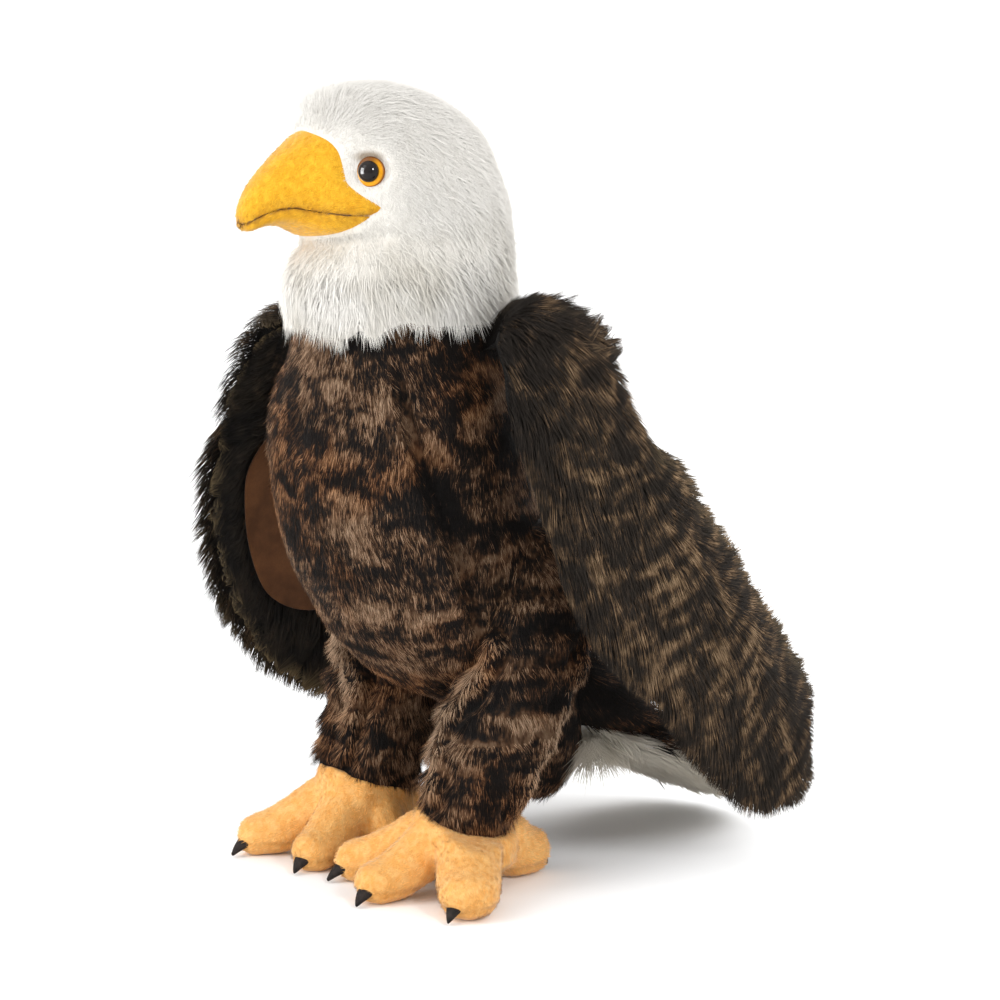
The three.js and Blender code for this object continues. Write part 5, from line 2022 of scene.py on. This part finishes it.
toward = lambda to: (lambda p: unit(np.array(to, float) - p))
beak_tip = head_place(np.array([[0, -70.0, 262.0]]))[0]
for part in ("upper", "lower"):
    nap(
        f"nap_beak_{part}", made[f"beak_{part}_skin"], 9000 if part == "upper" else 5000, 21, toward(beak_tip), 2.3,
        "beak", "beak_velour", lambda p: inside(p, [T["head"]], 0.0),
    )
for side in ("left", "right"):
    x, y = FEET[side]["at"]

    def spread(p, x=x, y=y):
        out = p - np.array([x, y, 30.0])
        return unit(out * np.array([1, 1, 0.5]))

    nap(
        f"nap_foot_{side}", feet[side], 12500, 22, spread, 2.6, "foot", "foot_velour",
        lambda p, side=side: (p[:, 2] < 1.5) | inside(p, [T[f"leg_{side}"]], 0.0),
    )

head_coat()
trunk_coat()
for side in ("left", "right"):
    leg_coat(side)
    wing_coat(side)
    wing_fringe(side)
    shoulder_tufts(side)
rump_coat()
rump_locks()
tail_coat()

# ------------------------------------------------------------------ stage, lights, camera


def plain(name, col, rough=0.9):
    nd = Nodes(name, Roughness=rough)
    nd.bsdf.inputs["Specular IOR Level"].default_value = 0.1
    nd.bsdf.inputs["Base Color"].default_value = (*col, 1)
    return nd.m


def make_stage():
    """A pale floor that sweeps up into a pale wall behind, turned to face the camera."""
    back = np.array([math.sin(math.radians(48)), -math.cos(math.radians(48)), 0])
    right = np.array([math.cos(math.radians(48)), math.sin(math.radians(48)), 0])
    prof = [(2500, 0.0)]
    R, wall = 600.0, 1500.0
    prof.append((-wall + R, 0.0))
    for k in range(1, 13):
        a = k / 12 * math.pi / 2
        prof.append((-wall + R - R * math.sin(a), R - R * math.cos(a)))
    prof.append((-wall, 3500.0))
    co, half = [], 4000.0
    for b, z in prof:
        for s in (-1, 1):
            co.append(back * b + right * s * half + UP * z)
    co = np.array(co) - SHIFT * 0
    n = len(prof)
    f = np.array([[2 * i, 2 * i + 1, 2 * i + 3, 2 * i + 2] for i in range(n - 1)])
    ob = new_mesh("floor", co, f)
    ob.data.materials.append(plain("pale_floor", (0.96, 0.96, 0.96)))


make_stage()


def area_light(name, at, target, size, power, colour=(1, 1, 1)):
    l = bpy.data.lights.new(name, "AREA")
    l.shape, l.size, l.size_y, l.energy, l.color = "RECTANGLE", size[0], size[1], power, colour
    ob = bpy.data.objects.new(name, l)
    ob.location = at
    ob.rotation_euler = (Vector(target) - Vector(at)).to_track_quat("-Z", "Y").to_euler()
    bpy.context.scene.collection.objects.link(ob)
    return ob


B = np.array([math.sin(math.radians(48)), -math.cos(math.radians(48)), 0])
Rv = np.array([math.cos(math.radians(48)), math.sin(math.radians(48)), 0])


def stage_at(b, r, z):
    return tuple(B * b + Rv * r + UP * z)


aim = (0, 0, 0.15)
eye = (0.012, -0.098, 0.292)


def from_eye(b, r, z, d):
    return tuple(np.array(eye) + (B * b + Rv * r + UP * z) * d)


area_light("key", from_eye(0.398, -0.736, 0.548, 1.35), (0, 0, 0.2), (0.6, 0.8), 4.5)
area_light("left", from_eye(0.307, -0.945, -0.113, 1.2), (0, 0, 0.2), (0.30, 0.42), 8.5)
area_light("window", from_eye(0.788, 0.483, 0.382, 1.3), eye, (0.20, 0.20), 4.6)
pupils = bpy.data.collections.new("pupils")
for side in ("left", "right"):
    pupils.objects.link(bpy.data.objects[f"pupil_{side}_dome"])
for name, at, size, power in (
    ("shine_left", from_eye(0.307, -0.945, -0.113, 1.15), (0.75, 1.45), 110.0),
    ("shine_window", from_eye(0.788, 0.483, 0.382, 1.25), (0.24, 0.24), 14.0),
):
    area_light(name, at, eye, size, power).light_linking.receiver_collection = pupils
area_light("fill", stage_at(0.9, 0.9, 0.55), aim, (1.2, 1.2), 2.4)
area_light("top", stage_at(0.1, 0.0, 1.6), aim, (3.2, 3.2), 12)
area_light("rim", stage_at(-0.8, 0.5, 0.8), aim, (0.8, 0.8), 3.0)

world = bpy.data.worlds.new("studio")
bpy.context.scene.world = world
world.use_nodes = True
world.node_tree.nodes["Background"].inputs[0].default_value = (1, 1, 1, 1)
world.node_tree.nodes["Background"].inputs[1].default_value = 0.98

cam = bpy.data.cameras.new("camera")
cam.sensor_width = 36
cam.lens = 2393 / 1000 * 36
cam.clip_start, cam.clip_end = 0.05, 20
cam_ob = bpy.data.objects.new("camera", cam)
bpy.context.scene.collection.objects.link(cam_ob)
A, pitch = math.radians(48), math.atan(0.1135)
back = np.array([math.sin(A), -math.cos(A), 0])
right = np.array([math.cos(A), math.sin(A), 0])
pos = back * 976.3 + right * (82.5 * 976.3 / 2393) + np.array([7, -6.3, 270]) + SHIFT
fwd = -back * math.cos(pitch) - UP * math.sin(pitch)
up = np.cross(right, fwd)
m = Matrix((
    (right[0], up[0], -fwd[0], pos[0] * MM),
    (right[1], up[1], -fwd[1], pos[1] * MM),
    (right[2], up[2], -fwd[2], pos[2] * MM),
    (0, 0, 0, 1),
))
cam_ob.matrix_world = m
bpy.context.scene.camera = cam_ob
bpy.context.scene.view_settings.view_transform = "Standard"
bpy.context.scene.view_settings.look = "None"
bpy.context.scene.cycles.max_bounces = 8
bpy.context.scene.cycles.diffuse_bounces = 4
